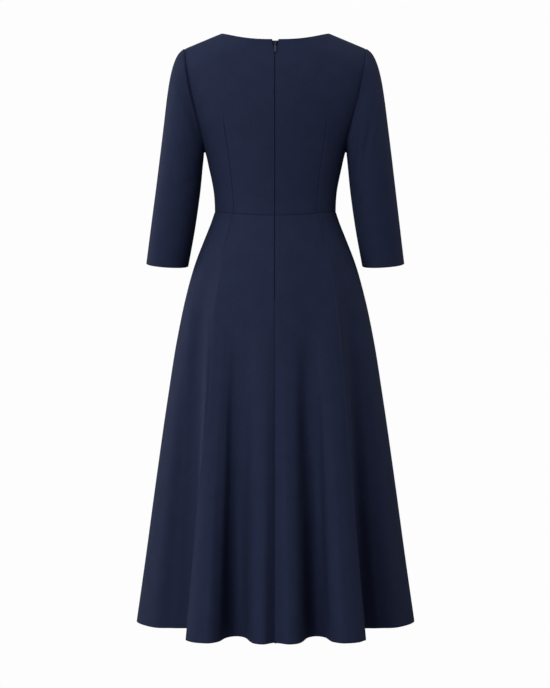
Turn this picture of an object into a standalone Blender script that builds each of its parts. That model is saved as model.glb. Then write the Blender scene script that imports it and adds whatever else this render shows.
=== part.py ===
"""A fit and flare dress, worn form without a wearer: hollow, open at neck, cuffs and hem.

Sizes are in millimetres until a mesh is made. The origin is at shoulder level, midway between the
shoulder seams. +X is the wearer's right, +Y the front of the dress and +Z up. The back, with its zip,
faces -Y. Every sewn piece is its own closed wall of cloth, and meets its neighbours with SEAM_GAP between.
"""

import math

import bmesh
import bpy
import numpy as np
from mathutils import Matrix

MM = 0.001  # metres in a millimetre

# Driving dimensions, in millimetres.
WALL = 1.5  # cloth with its turned-in seam allowance
SEAM_GAP = 0.3
SHOULDER_TIP_X = 185.0
SHOULDER_TIP_Z = -14.0
SHOULDER_SLOPE = 0.41  # rise for each millimetre towards the neck
SHOULDER_ROLL = 60.0  # how far down the shoulder stays rounded
NECK_HALF_WIDTH = 111.0
NECK_DROP_BACK = 23.5  # from the neck points down to centre back
NECK_DROP_FRONT = 60.0
NECK_CURVE = 2.4  # 2 is a parabola; more is flatter in the middle
UNDERARM_Z = -227.0
WAIST_Z = -351.0  # at the side seams
WAIST_DIP_BACK = 13.0  # the waist seam is lower at centre back
HEM_Z = -1193.8
ZIP_BELOW_WAIST = 180.0
ZIP_TAPE_WIDTH = 10.0
ZIP_TAPE_THICKNESS = 1.0
ZIP_TAPE_BEHIND = 0.8  # between the cloth's inner face and the tape
ZIP_TAPE_FROM_SLIT = 0.25
ZIP_TAPE_BELOW_NECK = 3.0
BACK_RADIUS = 130.0  # of the body's curve across centre back, which the tapes follow
FOLD_GROWTH = 1.2  # folds deepen a little faster than in proportion to the drop
FOLD_SETTLING = 3.0  # how soon a gore's edges reach their angle in the hem
SLEEVE_HEAD_STATIONS = 5  # rows of SLEEVE over which the armhole's shape fades out
NEAR = 0.5  # how near to the neck point still counts as the shoulder seam


def named_rows(columns, *rows):
    """A short table as a dictionary of columns."""
    return {name: np.array(values) for name, values in zip(columns.split(), zip(*rows))}


# The torso as horizontal sections. Above the underarm the half width is that of the whole shoulder.
TORSO = named_rows(
    "height half_width back front",
    (-370, 124.5, 95, 98),
    (-351, 124.5, 95, 98),
    (-335, 124.7, 95, 100),
    (-310, 126.7, 97, 104),
    (-285, 131.0, 99, 110),
    (-260, 136.6, 102, 117),
    (-235, 142.2, 104, 123),
    (-227, 144.5, 105, 124),
    (-209, 151.0, 106, 126),
    (-180, 164.0, 108, 126),
    (-147, 177.0, 109, 122),
    (-117, 187.0, 108, 115),
    (-82, 196.0, 102, 104),
    (-50, 203.0, 92, 92),
    (-14, 207.0, 77, 80),
    (20, 207.0, 68, 72),
)

# The armhole seam, seen from the back: how far out it is at each height.
ARMHOLE = named_rows(
    "height out",
    (-227, 144.5),
    (-209, 145.8),
    (-181, 152.6),
    (-147, 161.2),
    (-117, 168.8),
    (-82, 175.9),
    (-50, 181.4),
    (-30, 184.0),
    (-14, 185.0),
)

# The V at the top of the centre back, which holds the slider.
ZIP_NOTCH = named_rows(
    "height half_width",
    (-34, 0.15),
    (-30, 0.4),
    (-26, 1.6),
    (-21, 3.7),
    (-15, 5.4),
    (-11, 5.9),
    (-6, 6.6),
)

# The skirt's smooth cone: half width at the side seams, and depth behind and before them.
SKIRT = named_rows(
    "drop half_width back front",
    (0, 124.5, 95, 98),
    (20, 131.2, 99, 101),
    (57, 145.8, 108, 107),
    (100, 162.5, 119, 114),
    (175, 183.8, 134, 126),
    (260, 201.7, 150, 139),
    (380, 220.8, 171, 158),
    (550, 245.0, 201, 185),
    (720, 268.0, 233, 214),
    (840, 285.0, 256, 235),
)

# The folds, from centre back round one side to centre front. Angles are round the cone, from centre
# back. A fold leaves the cone at the share of the drop in "starts" and reaches its place in the hem.
# The right side of the dress is the same, with each fold "right_wider" further out.
FOLDS = named_rows(
    "name waist_angle hem_angle hem_out hem_y starts right_wider",
    ("centre back seam", 0, 0, 0, -250, 0.20, 0),
    ("centre lobe", 5, 5, 23, -266, 0.25, 3),
    ("centre lobe edge", 10, 10.5, 45, -250, 0.25, 4),
    ("centre wall", 14.5, 15.5, 59, -194, 0.25, 5),
    ("back valley", 19, 19.5, 76, -176, 0.25, 5),
    ("lobe wall", 23.5, 23, 94, -192, 0.24, 3),
    ("lobe edge", 28.5, 26.5, 108, -237, 0.22, 1),
    ("lobe crest", 36, 31.5, 134, -254, 0.16, 3),
    ("gore seam", 44.2, 36.9, 170, -221, 0.10, 2),
    ("side valley", 53, 51, 164, -97, 0.10, 2),
    ("side flat", 62, 60, 206, -82, 0.12, 1),
    ("side gore", 73, 70, 248, -70, 0.12, 1),
    ("side seam", 90, 90, 285, 0, 0.15, 1),
    ("front side gore", 108, 110, 250, 69, 0.12, 0),
    ("front side valley", 122, 124, 198, 106, 0.10, 0),
    ("front fold edge", 133, 136, 180, 180, 0.10, 1),
    ("front lobe crest", 143, 145, 146, 230, 0.15, 2),
    ("front valley", 158, 160, 82, 180, 0.25, 2),
    ("centre front", 180, 180, 0, 247, 0.30, 0),
)

# The sleeve as rings from the armhole to the cuff, seen from the back: its body-side and outer points,
# its depth behind and before its middle, how far the middle leans to the front, and the ring's tilt.
SLEEVE = named_rows(
    "inner_x inner_z outer_x outer_z back front forward tilt_deg",
    (144.5, -227.0, 185.0, -14.0, 45, 48, 0, 0),
    (146.6, -228.6, 198.5, -24.0, 47, 50, 0, 0),
    (147.0, -230.5, 209.0, -45.0, 50, 52, 0, 0),
    (147.2, -233.0, 217.0, -76.0, 53, 53, 0, 0),
    (147.6, -237.0, 223.5, -118.0, 55, 54, 1, 1),
    (148.3, -244.0, 229.5, -168.0, 56, 55, 3, 2),
    (149.8, -258.0, 237.0, -228.0, 56, 55, 6, 3),
    (155.5, -312.0, 246.5, -300.0, 54, 53, 13, 5),
    (166.5, -385.0, 257.5, -377.0, 50, 50, 24, 7),
    (181.0, -461.0, 268.5, -454.5, 47, 47, 37, 8.5),
)

# How finely the walls are cut.
BODICE_NECK_COLUMNS = 6
BODICE_SHOULDER_COLUMNS = 4
BODICE_LOWER_ROWS = 4
BODICE_UPPER_ROWS = 12
SKIRT_STEPS_PER_FOLD = 3
SKIRT_ROWS = 14
SKIRT_ROW_CROWDING = 1.15  # above 1, the rows are closer at the waist
ZIP_ROWS_BELOW_WAIST = 8
ZIP_ROWS_ABOVE_WAIST = (-330.0, -300.0, -270.0, -240.0, -210.0, -180.0, -150.0, -120.0, -90.0, -60.0, -40.0)
ZIP_ROWS_AT_NOTCH = (-22.4, -11.2)
SLEEVE_STEPS_PER_RING = 2

# The slider and its pull, in the slider's own directions: across, out from the cloth, and up.
SLIDER_HEIGHT_ON_BACK = -15.0
SLIDER_OUTLINE = ((5.3, 5.0), (4.3, 0.0), (2.8, -5.0))  # half width and height, top to bottom
SLIDER_INSIDE = 2.6
SLIDER_OUTSIDE = 0.6
BRIDGE_WIDTH = 1.6
BRIDGE_TOP = 3.0
BRIDGE_BOTTOM = -5.4
BRIDGE_BAR = 0.8
BRIDGE_REACH = 3.2  # out to the bridge's outer face
BRIDGE_CHAMFER = 0.5
BRIDGE_LEAN = 1.0  # its lower leg slopes up to the body
BRIDGE_SUNK = 0.3
PULL_AXIS_OUT = 1.5
PULL_AXIS_UP = -3.0
PULL_LENGTH = 21.0
PULL_HALF_WIDTH = 3.2
PULL_NECK_HALF_WIDTH = 2.3
PULL_THICKNESS = 1.0
PULL_EYE_HALF_WIDTH = 1.3
PULL_EYE_LENGTH = 2.9
PULL_SHOULDER_DROP = 5.4  # where the narrow top widens to the tab
PULL_TIP_STEPS = 12
PULL_REST_DEG = -2.2  # the pull leans out, to lie on the rounding back


def smooth(at, places, values):
    """A smooth curve through a table's rows, read at one or many places."""
    places = places.astype(float)
    slopes = np.gradient(values.astype(float), places)
    low = np.clip(np.searchsorted(places, at) - 1, 0, len(places) - 2)
    span = places[low + 1] - places[low]
    part = np.clip((at - places[low]) / span, 0, 1)
    rise = values[low + 1] - values[low]
    pull_low = part * (1 - part) ** 2 * span * slopes[low]
    pull_high = part**2 * (part - 1) * span * slopes[low + 1]
    return values[low] + rise * part**2 * (3 - 2 * part) + pull_low + pull_high


def read_table(table, column, at, key):
    """One column of a table, read smoothly at heights, drops or stations."""
    return smooth(at, table[key], table[column])


def unit(vectors):
    """The same directions at length 1."""
    return vectors / np.maximum(np.linalg.norm(vectors, axis=-1, keepdims=True), 1e-9)


# ---------------------------------------------------------------- torso


def ridge_z(x):
    """Height of the shoulder seam, carried on over the neck opening."""
    return SHOULDER_TIP_Z + SHOULDER_SLOPE * (SHOULDER_TIP_X - np.abs(x))


def neckline_z(x, drop):
    """Height of the neck edge: lowest in the middle, rising to the neck points."""
    share = np.clip(np.abs(x) / NECK_HALF_WIDTH, 0, 1)
    return ridge_z(NECK_HALF_WIDTH) - drop * (1 - share**NECK_CURVE)


def waist_z(angle):
    """Height of the waist seam. The angle is from centre back, in radians."""
    return WAIST_Z - WAIST_DIP_BACK * np.clip(np.cos(angle), 0, 1) ** 2


def edge_angle(z):
    """Angle of a panel's outer edge: the side seam, and above it the armhole."""
    out = read_table(ARMHOLE, "out", z, "height")
    whole = read_table(TORSO, "half_width", z, "height")
    return np.where(z < UNDERARM_Z, math.pi / 2, np.arcsin(np.clip(out / whole, 0, 1)))


def torso_point(angle, z, face):
    """A point of the torso. face is "back" or "front"; the angle is from that face's middle."""
    half_width = read_table(TORSO, "half_width", z, "height")
    depth = read_table(TORSO, face, z, "height")
    x = half_width * np.sin(angle)
    below_ridge = np.clip((ridge_z(x) - z) / SHOULDER_ROLL, 0, 1)
    y = depth * np.cos(angle) * np.sqrt(1 - (1 - below_ridge) ** 2)
    return np.stack([x, -y if face == "back" else y, z], axis=-1)


def bodice_columns():
    """Shares of the way from a panel's middle to its edge, and where each meets the top, in x."""
    top_angle = float(edge_angle(np.array(SHOULDER_TIP_Z)))
    whole = SHOULDER_TIP_X / math.sin(top_angle)
    neck_share = math.asin(NECK_HALF_WIDTH / whole) / top_angle
    neck = np.linspace(0, neck_share, BODICE_NECK_COLUMNS + 1)
    shoulder = np.linspace(neck_share, 1, BODICE_SHOULDER_COLUMNS + 1)
    shares = np.concatenate([neck, shoulder[1:]])
    return shares, whole * np.sin(shares * top_angle)


def bodice_rows():
    """Shares of the way up. One row meets the underarm; those above crowd at both ends."""
    underarm = (UNDERARM_Z - WAIST_Z) / (SHOULDER_TIP_Z - WAIST_Z)
    lower = np.linspace(0, underarm, BODICE_LOWER_ROWS + 1)
    turn = np.linspace(0, math.pi, BODICE_UPPER_ROWS + 1)
    upper = underarm + (1 - underarm) * (1 - np.cos(turn)) / 2
    return np.concatenate([lower, upper[1:]])


def bodice_half(face):
    """Outer points of one half panel on the +X side: rows upward, columns from the middle outward."""
    shares, top_x = bodice_columns()
    drop = NECK_DROP_BACK if face == "back" else NECK_DROP_FRONT
    top_z = np.where(top_x < NECK_HALF_WIDTH, neckline_z(top_x, drop), ridge_z(top_x))
    bottom_z = waist_z(shares * math.pi / 2) if face == "back" else np.full(len(shares), WAIST_Z)
    z = bottom_z + bodice_rows()[:, None] * (top_z - bottom_z)
    first = np.zeros_like(z)
    if face == "back":
        notch = read_table(ZIP_NOTCH, "half_width", z, "height")
        first = np.arcsin(notch / read_table(TORSO, "half_width", z, "height"))
    angle = first + shares * (edge_angle(z) - first)
    return torso_point(angle, z, face)


def mirrored(points):
    """The same points on the other side of the body."""
    return points * np.array([-1.0, 1.0, 1.0])


# ---------------------------------------------------------------- walls


def grid_normals(points, ring):
    """Directions out of a grid whose columns run anticlockwise from above, and whose rows run up."""
    if ring:
        across = np.roll(points, -1, axis=1) - np.roll(points, 1, axis=1)
    else:
        across = np.gradient(points, axis=1)
    return unit(np.cross(across, np.gradient(points, axis=0)))


def pull_back(points, side, distance):
    """Moves one border of a grid towards its inner neighbours, to leave room at the seam."""
    points = points.copy()
    edge, inner = {
        "bottom": (np.s_[0], np.s_[1]),
        "top": (np.s_[-1], np.s_[-2]),
        "first": (np.s_[:, 0], np.s_[:, 1]),
        "last": (np.s_[:, -1], np.s_[:, -2]),
    }[side]
    points[edge] = points[edge] + unit(points[inner] - points[edge]) * distance
    return points


def wall_object(name, outer, offsets, ring, material):
    """A closed wall of cloth from a grid of outer points and their offsets to the inner points."""
    inner = outer + offsets
    rows, columns = outer.shape[:2]
    bm = bmesh.new()
    skins = [[[bm.verts.new(p * MM) for p in row] for row in skin] for skin in (outer, inner)]
    last = columns if ring else columns - 1
    for skin in skins:
        for r in range(rows - 1):
            for c in range(last):
                d = (c + 1) % columns
                bm.faces.new((skin[r][c], skin[r][d], skin[r + 1][d], skin[r + 1][c]))
    front, back = skins
    for r in (0, rows - 1):
        for c in range(last):
            d = (c + 1) % columns
            bm.faces.new((front[r][c], front[r][d], back[r][d], back[r][c]))
    for c in () if ring else (0, columns - 1):
        for r in range(rows - 1):
            bm.faces.new((front[r][c], front[r + 1][c], back[r + 1][c], back[r][c]))
    return mesh_object(name, bm, material)


def mesh_object(name, bm, material):
    """A smooth-shaded object from a bmesh, with its faces turned outward."""
    bmesh.ops.recalc_face_normals(bm, faces=bm.faces)
    mesh = bpy.data.meshes.new(name)
    bm.to_mesh(mesh)
    bm.free()
    mesh.materials.append(material)
    mesh.shade_smooth()
    mesh.set_sharp_from_angle(angle=math.radians(40))
    made = bpy.data.objects.new(name, mesh)
    bpy.context.scene.collection.objects.link(made)
    return made


def make_material(name, colour, roughness, metallic):
    material = bpy.data.materials.new(name)
    material.use_nodes = True
    shader = material.node_tree.nodes["Principled BSDF"]
    shader.inputs["Base Color"].default_value = (*colour, 1)
    shader.inputs["Roughness"].default_value = roughness
    shader.inputs["Metallic"].default_value = metallic
    return material


# ---------------------------------------------------------------- bodice


def bodice_normals(points):
    """Outward directions of a panel, the same on both sides of the shoulder and side seams."""
    normals = grid_normals(points, False)
    on_seam = np.abs(points[-1, :, 0]) > NECK_HALF_WIDTH - NEAR
    out = np.where(points[-1, :, 0] < 0, -1.0, 1.0)
    square = unit(np.stack([out * SHOULDER_SLOPE, np.zeros(len(out)), np.ones(len(out))], axis=-1))
    normals[-1, on_seam] = square[on_seam]
    for column in (0, -1):
        lower = points[: BODICE_LOWER_ROWS + 1, column]
        if np.abs(lower[0, 0]) > NECK_HALF_WIDTH:
            normals[: BODICE_LOWER_ROWS + 1, column, 1] = 0
    return unit(normals)


def trim_lower_side(points, side):
    """Pulls back the side seam only, as far up as the underarm."""
    trimmed = pull_back(points, side, SEAM_GAP / 2)
    out = points.copy()
    out[: BODICE_LOWER_ROWS + 1] = trimmed[: BODICE_LOWER_ROWS + 1]
    return out


def trim_shoulder(points):
    """Pulls back the shoulder seam, but not the neck edge beside it."""
    trimmed = pull_back(points, "top", SEAM_GAP / 2)
    on_seam = np.abs(points[-1, :, 0]) > NECK_HALF_WIDTH - NEAR
    out = points.copy()
    out[-1, on_seam] = trimmed[-1, on_seam]
    return out


def make_bodice(cloth):
    """Two back panels, which the zip joins, and one front panel."""
    back = bodice_half("back")
    left_back = mirrored(back)[:, ::-1]
    for name, points, side in (
        ("bodice_back_right", back, "last"),
        ("bodice_back_left", left_back, "first"),
    ):
        panel = pull_back(points, "bottom", SEAM_GAP / 2)
        panel = trim_shoulder(trim_lower_side(panel, side))
        wall_object(name, panel, -WALL * bodice_normals(points), False, cloth)
    front = bodice_half("front")
    whole = np.concatenate([front[:, ::-1], mirrored(front)[:, 1:]], axis=1)
    panel = pull_back(whole, "bottom", SEAM_GAP / 2)
    panel = trim_shoulder(trim_lower_side(trim_lower_side(panel, "first"), "last"))
    wall_object("bodice_front", panel, -WALL * bodice_normals(whole), False, cloth)


# ---------------------------------------------------------------- sleeves


def armhole_ring():
    """The armhole seam on the +X side as a closed ring, with the torso's normals along it.

    It starts at the underarm, climbs the back, passes the shoulder tip and comes down the front.
    """
    back = bodice_half("back")
    front = bodice_half("front")[:, ::-1]
    back_normals = bodice_normals(back)
    front_normals = bodice_normals(front)
    up = np.s_[BODICE_LOWER_ROWS:]
    ring = np.concatenate([back[up, -1], front[up, 0][::-1][1:-1]])
    normals = np.concatenate([back_normals[up, -1], front_normals[up, 0][::-1][1:-1]])
    return ring, normals


def sleeve_rings(count):
    """Outer points of the sleeve on the +X side: rings from armhole to cuff, count points each."""
    stations = len(SLEEVE["inner_x"])
    steps = np.linspace(0, stations - 1, (stations - 1) * SLEEVE_STEPS_PER_RING + 1)
    at = {name: smooth(steps, np.arange(stations), SLEEVE[name])[:, None] for name in SLEEVE}
    turn = np.linspace(0, 2 * math.pi, count, endpoint=False)[None, :]
    x = (at["inner_x"] + at["outer_x"]) / 2 - (at["outer_x"] - at["inner_x"]) / 2 * np.cos(turn)
    z = (at["inner_z"] + at["outer_z"]) / 2 - (at["outer_z"] - at["inner_z"]) / 2 * np.cos(turn)
    reach = np.where(turn < math.pi, -at["back"], -at["front"]) * np.sin(turn)
    y = at["forward"] + reach
    z = z + reach * np.tan(np.radians(at["tilt_deg"]))
    return np.stack([x, y, z], axis=-1)


def sleeve_surface():
    """Outer points and offsets of the +X sleeve. The sleeve head grows out of the armhole seam."""
    seam, body_normals = armhole_ring()
    rings = sleeve_rings(len(seam))
    along = unit(np.roll(seam, -1, axis=0) - np.roll(seam, 1, axis=0))
    away = unit(np.cross(body_normals, along))
    away *= np.sign((away * np.array([0, 0, 1.0])).sum(-1)[0])
    start = seam + away * SEAM_GAP
    head_rings = SLEEVE_HEAD_STATIONS * SLEEVE_STEPS_PER_RING
    fade = np.clip(1 - np.arange(len(rings)) / head_rings, 0, 1) ** 2
    rings = rings + fade[:, None, None] * (start - rings[0])
    normals = -grid_normals(rings[::-1], True)[::-1]
    middle = rings.mean(axis=1, keepdims=True)
    facing = np.sign(((rings - middle) * normals).sum(-1).mean())
    offsets = -WALL * normals * facing
    back_reach = np.minimum((offsets[0] * away).sum(-1, keepdims=True), 0)
    offsets[0] -= back_reach * away
    return rings, offsets


def make_sleeves(cloth):
    rings, offsets = sleeve_surface()
    wall_object("sleeve_right", rings, offsets, True, cloth)
    wall_object("sleeve_left", mirrored(rings), mirrored(offsets), True, cloth)


# ---------------------------------------------------------------- skirt


def whole_round(right, left):
    """A value for each fold all round: up the right side, and back down the left without its ends."""
    return np.concatenate([right, left[-2:0:-1]])


def around(values, turn=0.0):
    """Reads a ring of values at even steps between the folds, on a smooth closed curve."""
    count = len(values)
    padded = np.concatenate([values[-3:] - turn, values, values[:3] + turn])
    steps = np.arange(count * SKIRT_STEPS_PER_FOLD) / SKIRT_STEPS_PER_FOLD
    return smooth(steps, np.arange(-3, count + 3), padded)


def skirt_surface():
    """Outer points of the whole skirt: rows from waist to hem, columns anticlockwise."""
    fold = FOLDS
    waist_angle = np.radians(around(whole_round(fold["waist_angle"], 360 - fold["waist_angle"]), 360.0))
    hem_angle = np.radians(around(whole_round(fold["hem_angle"], 360 - fold["hem_angle"]), 360.0))
    hem_x = around(whole_round(fold["hem_out"] + fold["right_wider"], -fold["hem_out"]))
    hem_y = around(whole_round(fold["hem_y"], fold["hem_y"]))
    start = around(whole_round(fold["starts"], fold["starts"]))
    share = np.linspace(0, 1, SKIRT_ROWS + 1)[:, None] ** SKIRT_ROW_CROWDING
    angle = hem_angle + (waist_angle - hem_angle) * (1 - share) ** FOLD_SETTLING
    drop = share * (WAIST_Z - HEM_Z) + 0 * angle
    top = waist_z(waist_angle)
    z = top + share * (HEM_Z - top)
    cone = cone_point(angle, drop)
    hem_cone = cone_point(hem_angle, np.full(len(hem_angle), WAIST_Z - HEM_Z))
    growth = np.clip((share - start) / (1 - start), 0, 1) ** FOLD_GROWTH
    x = cone[0] + growth * (hem_x - hem_cone[0])
    y = cone[1] + growth * (hem_y - hem_cone[1])
    return np.stack([x, y, z], axis=-1)


def cone_point(angle, drop):
    """Where the skirt would hang without folds."""
    half_width = read_table(SKIRT, "half_width", drop, "drop")
    back = read_table(SKIRT, "back", drop, "drop")
    front = read_table(SKIRT, "front", drop, "drop")
    depth = np.where(np.cos(angle) > 0, back, front)
    return half_width * np.sin(angle), -depth * np.cos(angle)


def make_skirt(cloth):
    """Five gores, cut apart at the centre back, gore and side seams."""
    points = skirt_surface()
    normals = grid_normals(points[::-1], True)[::-1]
    columns = points.shape[1]
    fold = {name: i * SKIRT_STEPS_PER_FOLD for i, name in enumerate(FOLDS["name"])}
    gore, side = fold["gore seam"], fold["side seam"]
    gores = {
        "skirt_centre_back_right": (0, gore),
        "skirt_side_back_right": (gore, side),
        "skirt_front": (side, columns - side),
        "skirt_side_back_left": (columns - side, columns - gore),
        "skirt_centre_back_left": (columns - gore, columns),
    }
    for name, (first, last) in gores.items():
        pick = np.arange(first, last + 1) % columns
        gore_points = points[:, pick]
        for side_name in ("first", "last", "bottom"):
            gore_points = pull_back(gore_points, side_name, SEAM_GAP / 2)
        wall_object(name, gore_points, -WALL * normals[:, pick], False, cloth)


# ---------------------------------------------------------------- zip


def back_profile_y(z):
    """Depth of the cloth's outer face on the centre back line."""
    below = np.clip((WAIST_Z - WAIST_DIP_BACK - z) / (WAIST_Z - WAIST_DIP_BACK - HEM_Z), 0, 1)
    skirt = -read_table(SKIRT, "back", below * (WAIST_Z - HEM_Z), "drop")
    torso = -read_table(TORSO, "back", z, "height")
    return np.where(below > 0, skirt, torso)


def make_zip_tapes(tape):
    """Two tapes inside the centre back seam, from just under the neck edge to below the waist."""
    top = ridge_z(NECK_HALF_WIDTH) - NECK_DROP_BACK - ZIP_TAPE_BELOW_NECK
    waist = WAIST_Z - WAIST_DIP_BACK
    below = np.linspace(waist - ZIP_BELOW_WAIST, waist, ZIP_ROWS_BELOW_WAIST + 1)
    z = np.concatenate([below, ZIP_ROWS_ABOVE_WAIST, ZIP_ROWS_AT_NOTCH, [top]])[:, None]
    slit_edge = read_table(ZIP_NOTCH, "half_width", z, "height") + ZIP_TAPE_FROM_SLIT
    across = slit_edge + ZIP_TAPE_WIDTH * np.array([[0, 0.5, 1.0]])
    behind = WALL + ZIP_TAPE_BEHIND
    sag = across**2 / (2 * BACK_RADIUS)
    y = back_profile_y(z) + behind + sag
    right = np.stack([across, y, z + 0 * across], axis=-1)
    inward = np.array([0.0, ZIP_TAPE_THICKNESS, 0.0]) + 0 * right
    wall_object("zip_tape_right", right, inward, False, tape)
    wall_object("zip_tape_left", mirrored(right), mirrored(inward), False, tape)


def prism(outline, low, high, axis):
    """A bmesh prism of a flat outline, standing on the given axis from low to high."""
    order = {"across": lambda p, h: (h, p[0], p[1]), "out": lambda p, h: (p[0], -h, p[1])}[axis]
    bm = bmesh.new()
    ends = [[bm.verts.new(np.array(order(p, h)) * MM) for p in outline] for h in (low, high)]
    bm.faces.new(ends[0])
    bm.faces.new(ends[1][::-1])
    for i in range(len(outline)):
        j = (i + 1) % len(outline)
        bm.faces.new((ends[0][i], ends[1][i], ends[1][j], ends[0][j]))
    return bm


def box_outline(low, high):
    """A rectangle's four corners."""
    return [(low[0], low[1]), (high[0], low[1]), (high[0], high[1]), (low[0], high[1])]


def slider_frame():
    """The slider's place and slope: its own up direction follows the cloth at centre back."""
    step = 5.0
    z = SLIDER_HEIGHT_ON_BACK
    low, high = back_profile_y(np.array([z - step, z + step]))
    place = Matrix.Translation((0, float(back_profile_y(np.array(z))) * MM, z * MM))
    return place @ Matrix.Rotation(-math.atan((high - low) / (2 * step)), 4, "X")


def apply_boolean(target, cutter, operation):
    """Adds or cuts away a hidden shape."""
    modifier = target.modifiers.new(operation.lower(), "BOOLEAN")
    modifier.operation = operation
    modifier.object = cutter
    cutter.hide_render = True
    cutter.display_type = "WIRE"


def make_slider(metal):
    """A tapered slider body with a bridge standing on its outer face."""
    left = [(-w, h) for w, h in SLIDER_OUTLINE]
    outline = left + list(SLIDER_OUTLINE[::-1])
    body = mesh_object("zip_slider", prism(outline, -SLIDER_INSIDE, SLIDER_OUTSIDE, "out"), metal)
    foot = BRIDGE_SUNK - SLIDER_OUTSIDE
    outer = -BRIDGE_REACH
    inner = outer + BRIDGE_BAR
    arch = [
        (foot, BRIDGE_BOTTOM + BRIDGE_LEAN),
        (outer + BRIDGE_CHAMFER, BRIDGE_BOTTOM),
        (outer, BRIDGE_BOTTOM + BRIDGE_CHAMFER),
        (outer, BRIDGE_TOP - BRIDGE_CHAMFER),
        (outer + BRIDGE_CHAMFER, BRIDGE_TOP),
        (foot, BRIDGE_TOP),
        (foot, BRIDGE_TOP - BRIDGE_BAR),
        (inner, BRIDGE_TOP - BRIDGE_BAR),
        (inner, BRIDGE_BOTTOM + BRIDGE_BAR),
        (foot, BRIDGE_BOTTOM + BRIDGE_LEAN + BRIDGE_BAR),
    ]
    bridge = mesh_object("bridge_shape", prism(arch, -BRIDGE_WIDTH / 2, BRIDGE_WIDTH / 2, "across"), metal)
    place = slider_frame()
    body.matrix_world = place
    bridge.matrix_world = place
    apply_boolean(body, bridge, "UNION")


def pull_outline():
    """The pull's outline from its top bar to its rounded tip: across and up from the axis."""
    top = PULL_THICKNESS / 2
    centre = PULL_HALF_WIDTH - PULL_LENGTH
    tip = [
        (PULL_HALF_WIDTH * math.cos(a), centre - PULL_HALF_WIDTH * math.sin(a))
        for a in np.linspace(0, math.pi, PULL_TIP_STEPS + 1)
    ]
    neck = PULL_NECK_HALF_WIDTH
    return [(-neck, -PULL_SHOULDER_DROP), (-neck, top), (neck, top), (neck, -PULL_SHOULDER_DROP)] + tip


def make_pull(metal):
    """The pull tab. Its origin is on the hinge axis, at the middle of its top bar."""
    thick = PULL_THICKNESS / 2
    tab = mesh_object("zip_pull", prism(pull_outline(), -thick, thick, "out"), metal)
    eye = box_outline((-PULL_EYE_HALF_WIDTH, -thick - PULL_EYE_LENGTH), (PULL_EYE_HALF_WIDTH, -thick))
    hole = mesh_object("eye_shape", prism(eye, -PULL_THICKNESS, PULL_THICKNESS, "out"), metal)
    axis = Matrix.Translation((0, -PULL_AXIS_OUT * MM, PULL_AXIS_UP * MM))
    place = slider_frame() @ axis @ Matrix.Rotation(math.radians(PULL_REST_DEG), 4, "X")
    tab.matrix_world = place
    hole.matrix_world = place
    apply_boolean(tab, hole, "DIFFERENCE")


def main():
    for old in list(bpy.data.objects):
        bpy.data.objects.remove(old)
    crepe = make_material("navy crepe", (0.016, 0.020, 0.043), 0.75, 0.0)
    tape = make_material("navy zip tape", (0.012, 0.014, 0.028), 0.8, 0.0)
    metal = make_material("lacquered zinc", (0.03, 0.032, 0.042), 0.35, 0.9)
    make_bodice(crepe)
    make_sleeves(crepe)
    make_skirt(crepe)
    make_zip_tapes(tape)
    make_slider(metal)
    make_pull(metal)


main()
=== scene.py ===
# %% [markdown]
# # A navy crepe dress, filled out as worn
# The dress is sewn from flat pieces of cloth: a front and two backs for the bodice, two sleeves and
# five skirt pieces, closed by a zip in the centre back. The CAD model holds each of them as a plain
# wall. Here each wall is replaced by a thinner, finer shell on the same surface, with its seams, darts,
# hems and soft creases, and the zip gets its teeth. The frame comes first, because it fixes all sizes.

# %% Load the frame
import math

import bmesh
import bpy
import numpy as np
from mathutils import Matrix


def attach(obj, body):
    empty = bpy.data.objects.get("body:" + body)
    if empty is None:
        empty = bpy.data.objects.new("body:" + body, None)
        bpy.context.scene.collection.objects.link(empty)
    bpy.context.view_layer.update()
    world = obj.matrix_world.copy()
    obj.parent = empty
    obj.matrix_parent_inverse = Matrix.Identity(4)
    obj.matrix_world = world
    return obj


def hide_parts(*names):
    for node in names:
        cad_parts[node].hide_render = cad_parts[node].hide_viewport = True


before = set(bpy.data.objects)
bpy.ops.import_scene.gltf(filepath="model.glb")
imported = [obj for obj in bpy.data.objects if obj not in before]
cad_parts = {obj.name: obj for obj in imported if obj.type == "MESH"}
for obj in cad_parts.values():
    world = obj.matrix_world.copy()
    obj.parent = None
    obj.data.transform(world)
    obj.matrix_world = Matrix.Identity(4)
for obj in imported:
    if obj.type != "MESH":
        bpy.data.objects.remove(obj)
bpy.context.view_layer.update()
MM = 0.001  # metres in a millimetre

# %% [markdown]
# ## The cut, in millimetres
# A dress is drafted from a few body measures and a few sections. These are the same named sizes that
# the CAD walls were made from, so a shell made from them lies exactly on its wall. +X is the wearer's
# right, +Y the front, +Z up, and the origin is at shoulder level between the shoulder seams.

# %% Driving sizes
SHOULDER_TIP_X = 185.0
SHOULDER_TIP_Z = -14.0
SHOULDER_SLOPE = 0.41  # rise for each millimetre towards the neck
SHOULDER_ROLL = 60.0  # how far down the shoulder stays rounded
NECK_HALF_WIDTH = 111.0
NECK_DROP = {"back": 23.5, "front": 60.0}  # from the neck points down to the middle
NECK_CURVE = 2.4  # 2 is a parabola; more is flatter in the middle
UNDERARM_Z = -227.0
WAIST_Z = -351.0  # at the side seams
WAIST_DIP_BACK = 13.0  # the waist seam is lower at centre back
HEM_Z = -1193.8
ZIP_BELOW_WAIST = 180.0
ZIP_FOOT_Z = WAIST_Z - WAIST_DIP_BACK - ZIP_BELOW_WAIST
FOLD_GROWTH = 1.2  # folds deepen a little faster than in proportion to the drop
FOLD_SETTLING = 3.0  # how soon a gore's edges reach their angle in the hem
SLEEVE_HEAD_STATIONS = 5  # rows of SLEEVE over which the armhole's shape fades out


def named_rows(columns, *rows):
    """A short table as a dictionary of columns."""
    return {name: np.array(values) for name, values in zip(columns.split(), zip(*rows))}


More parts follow.
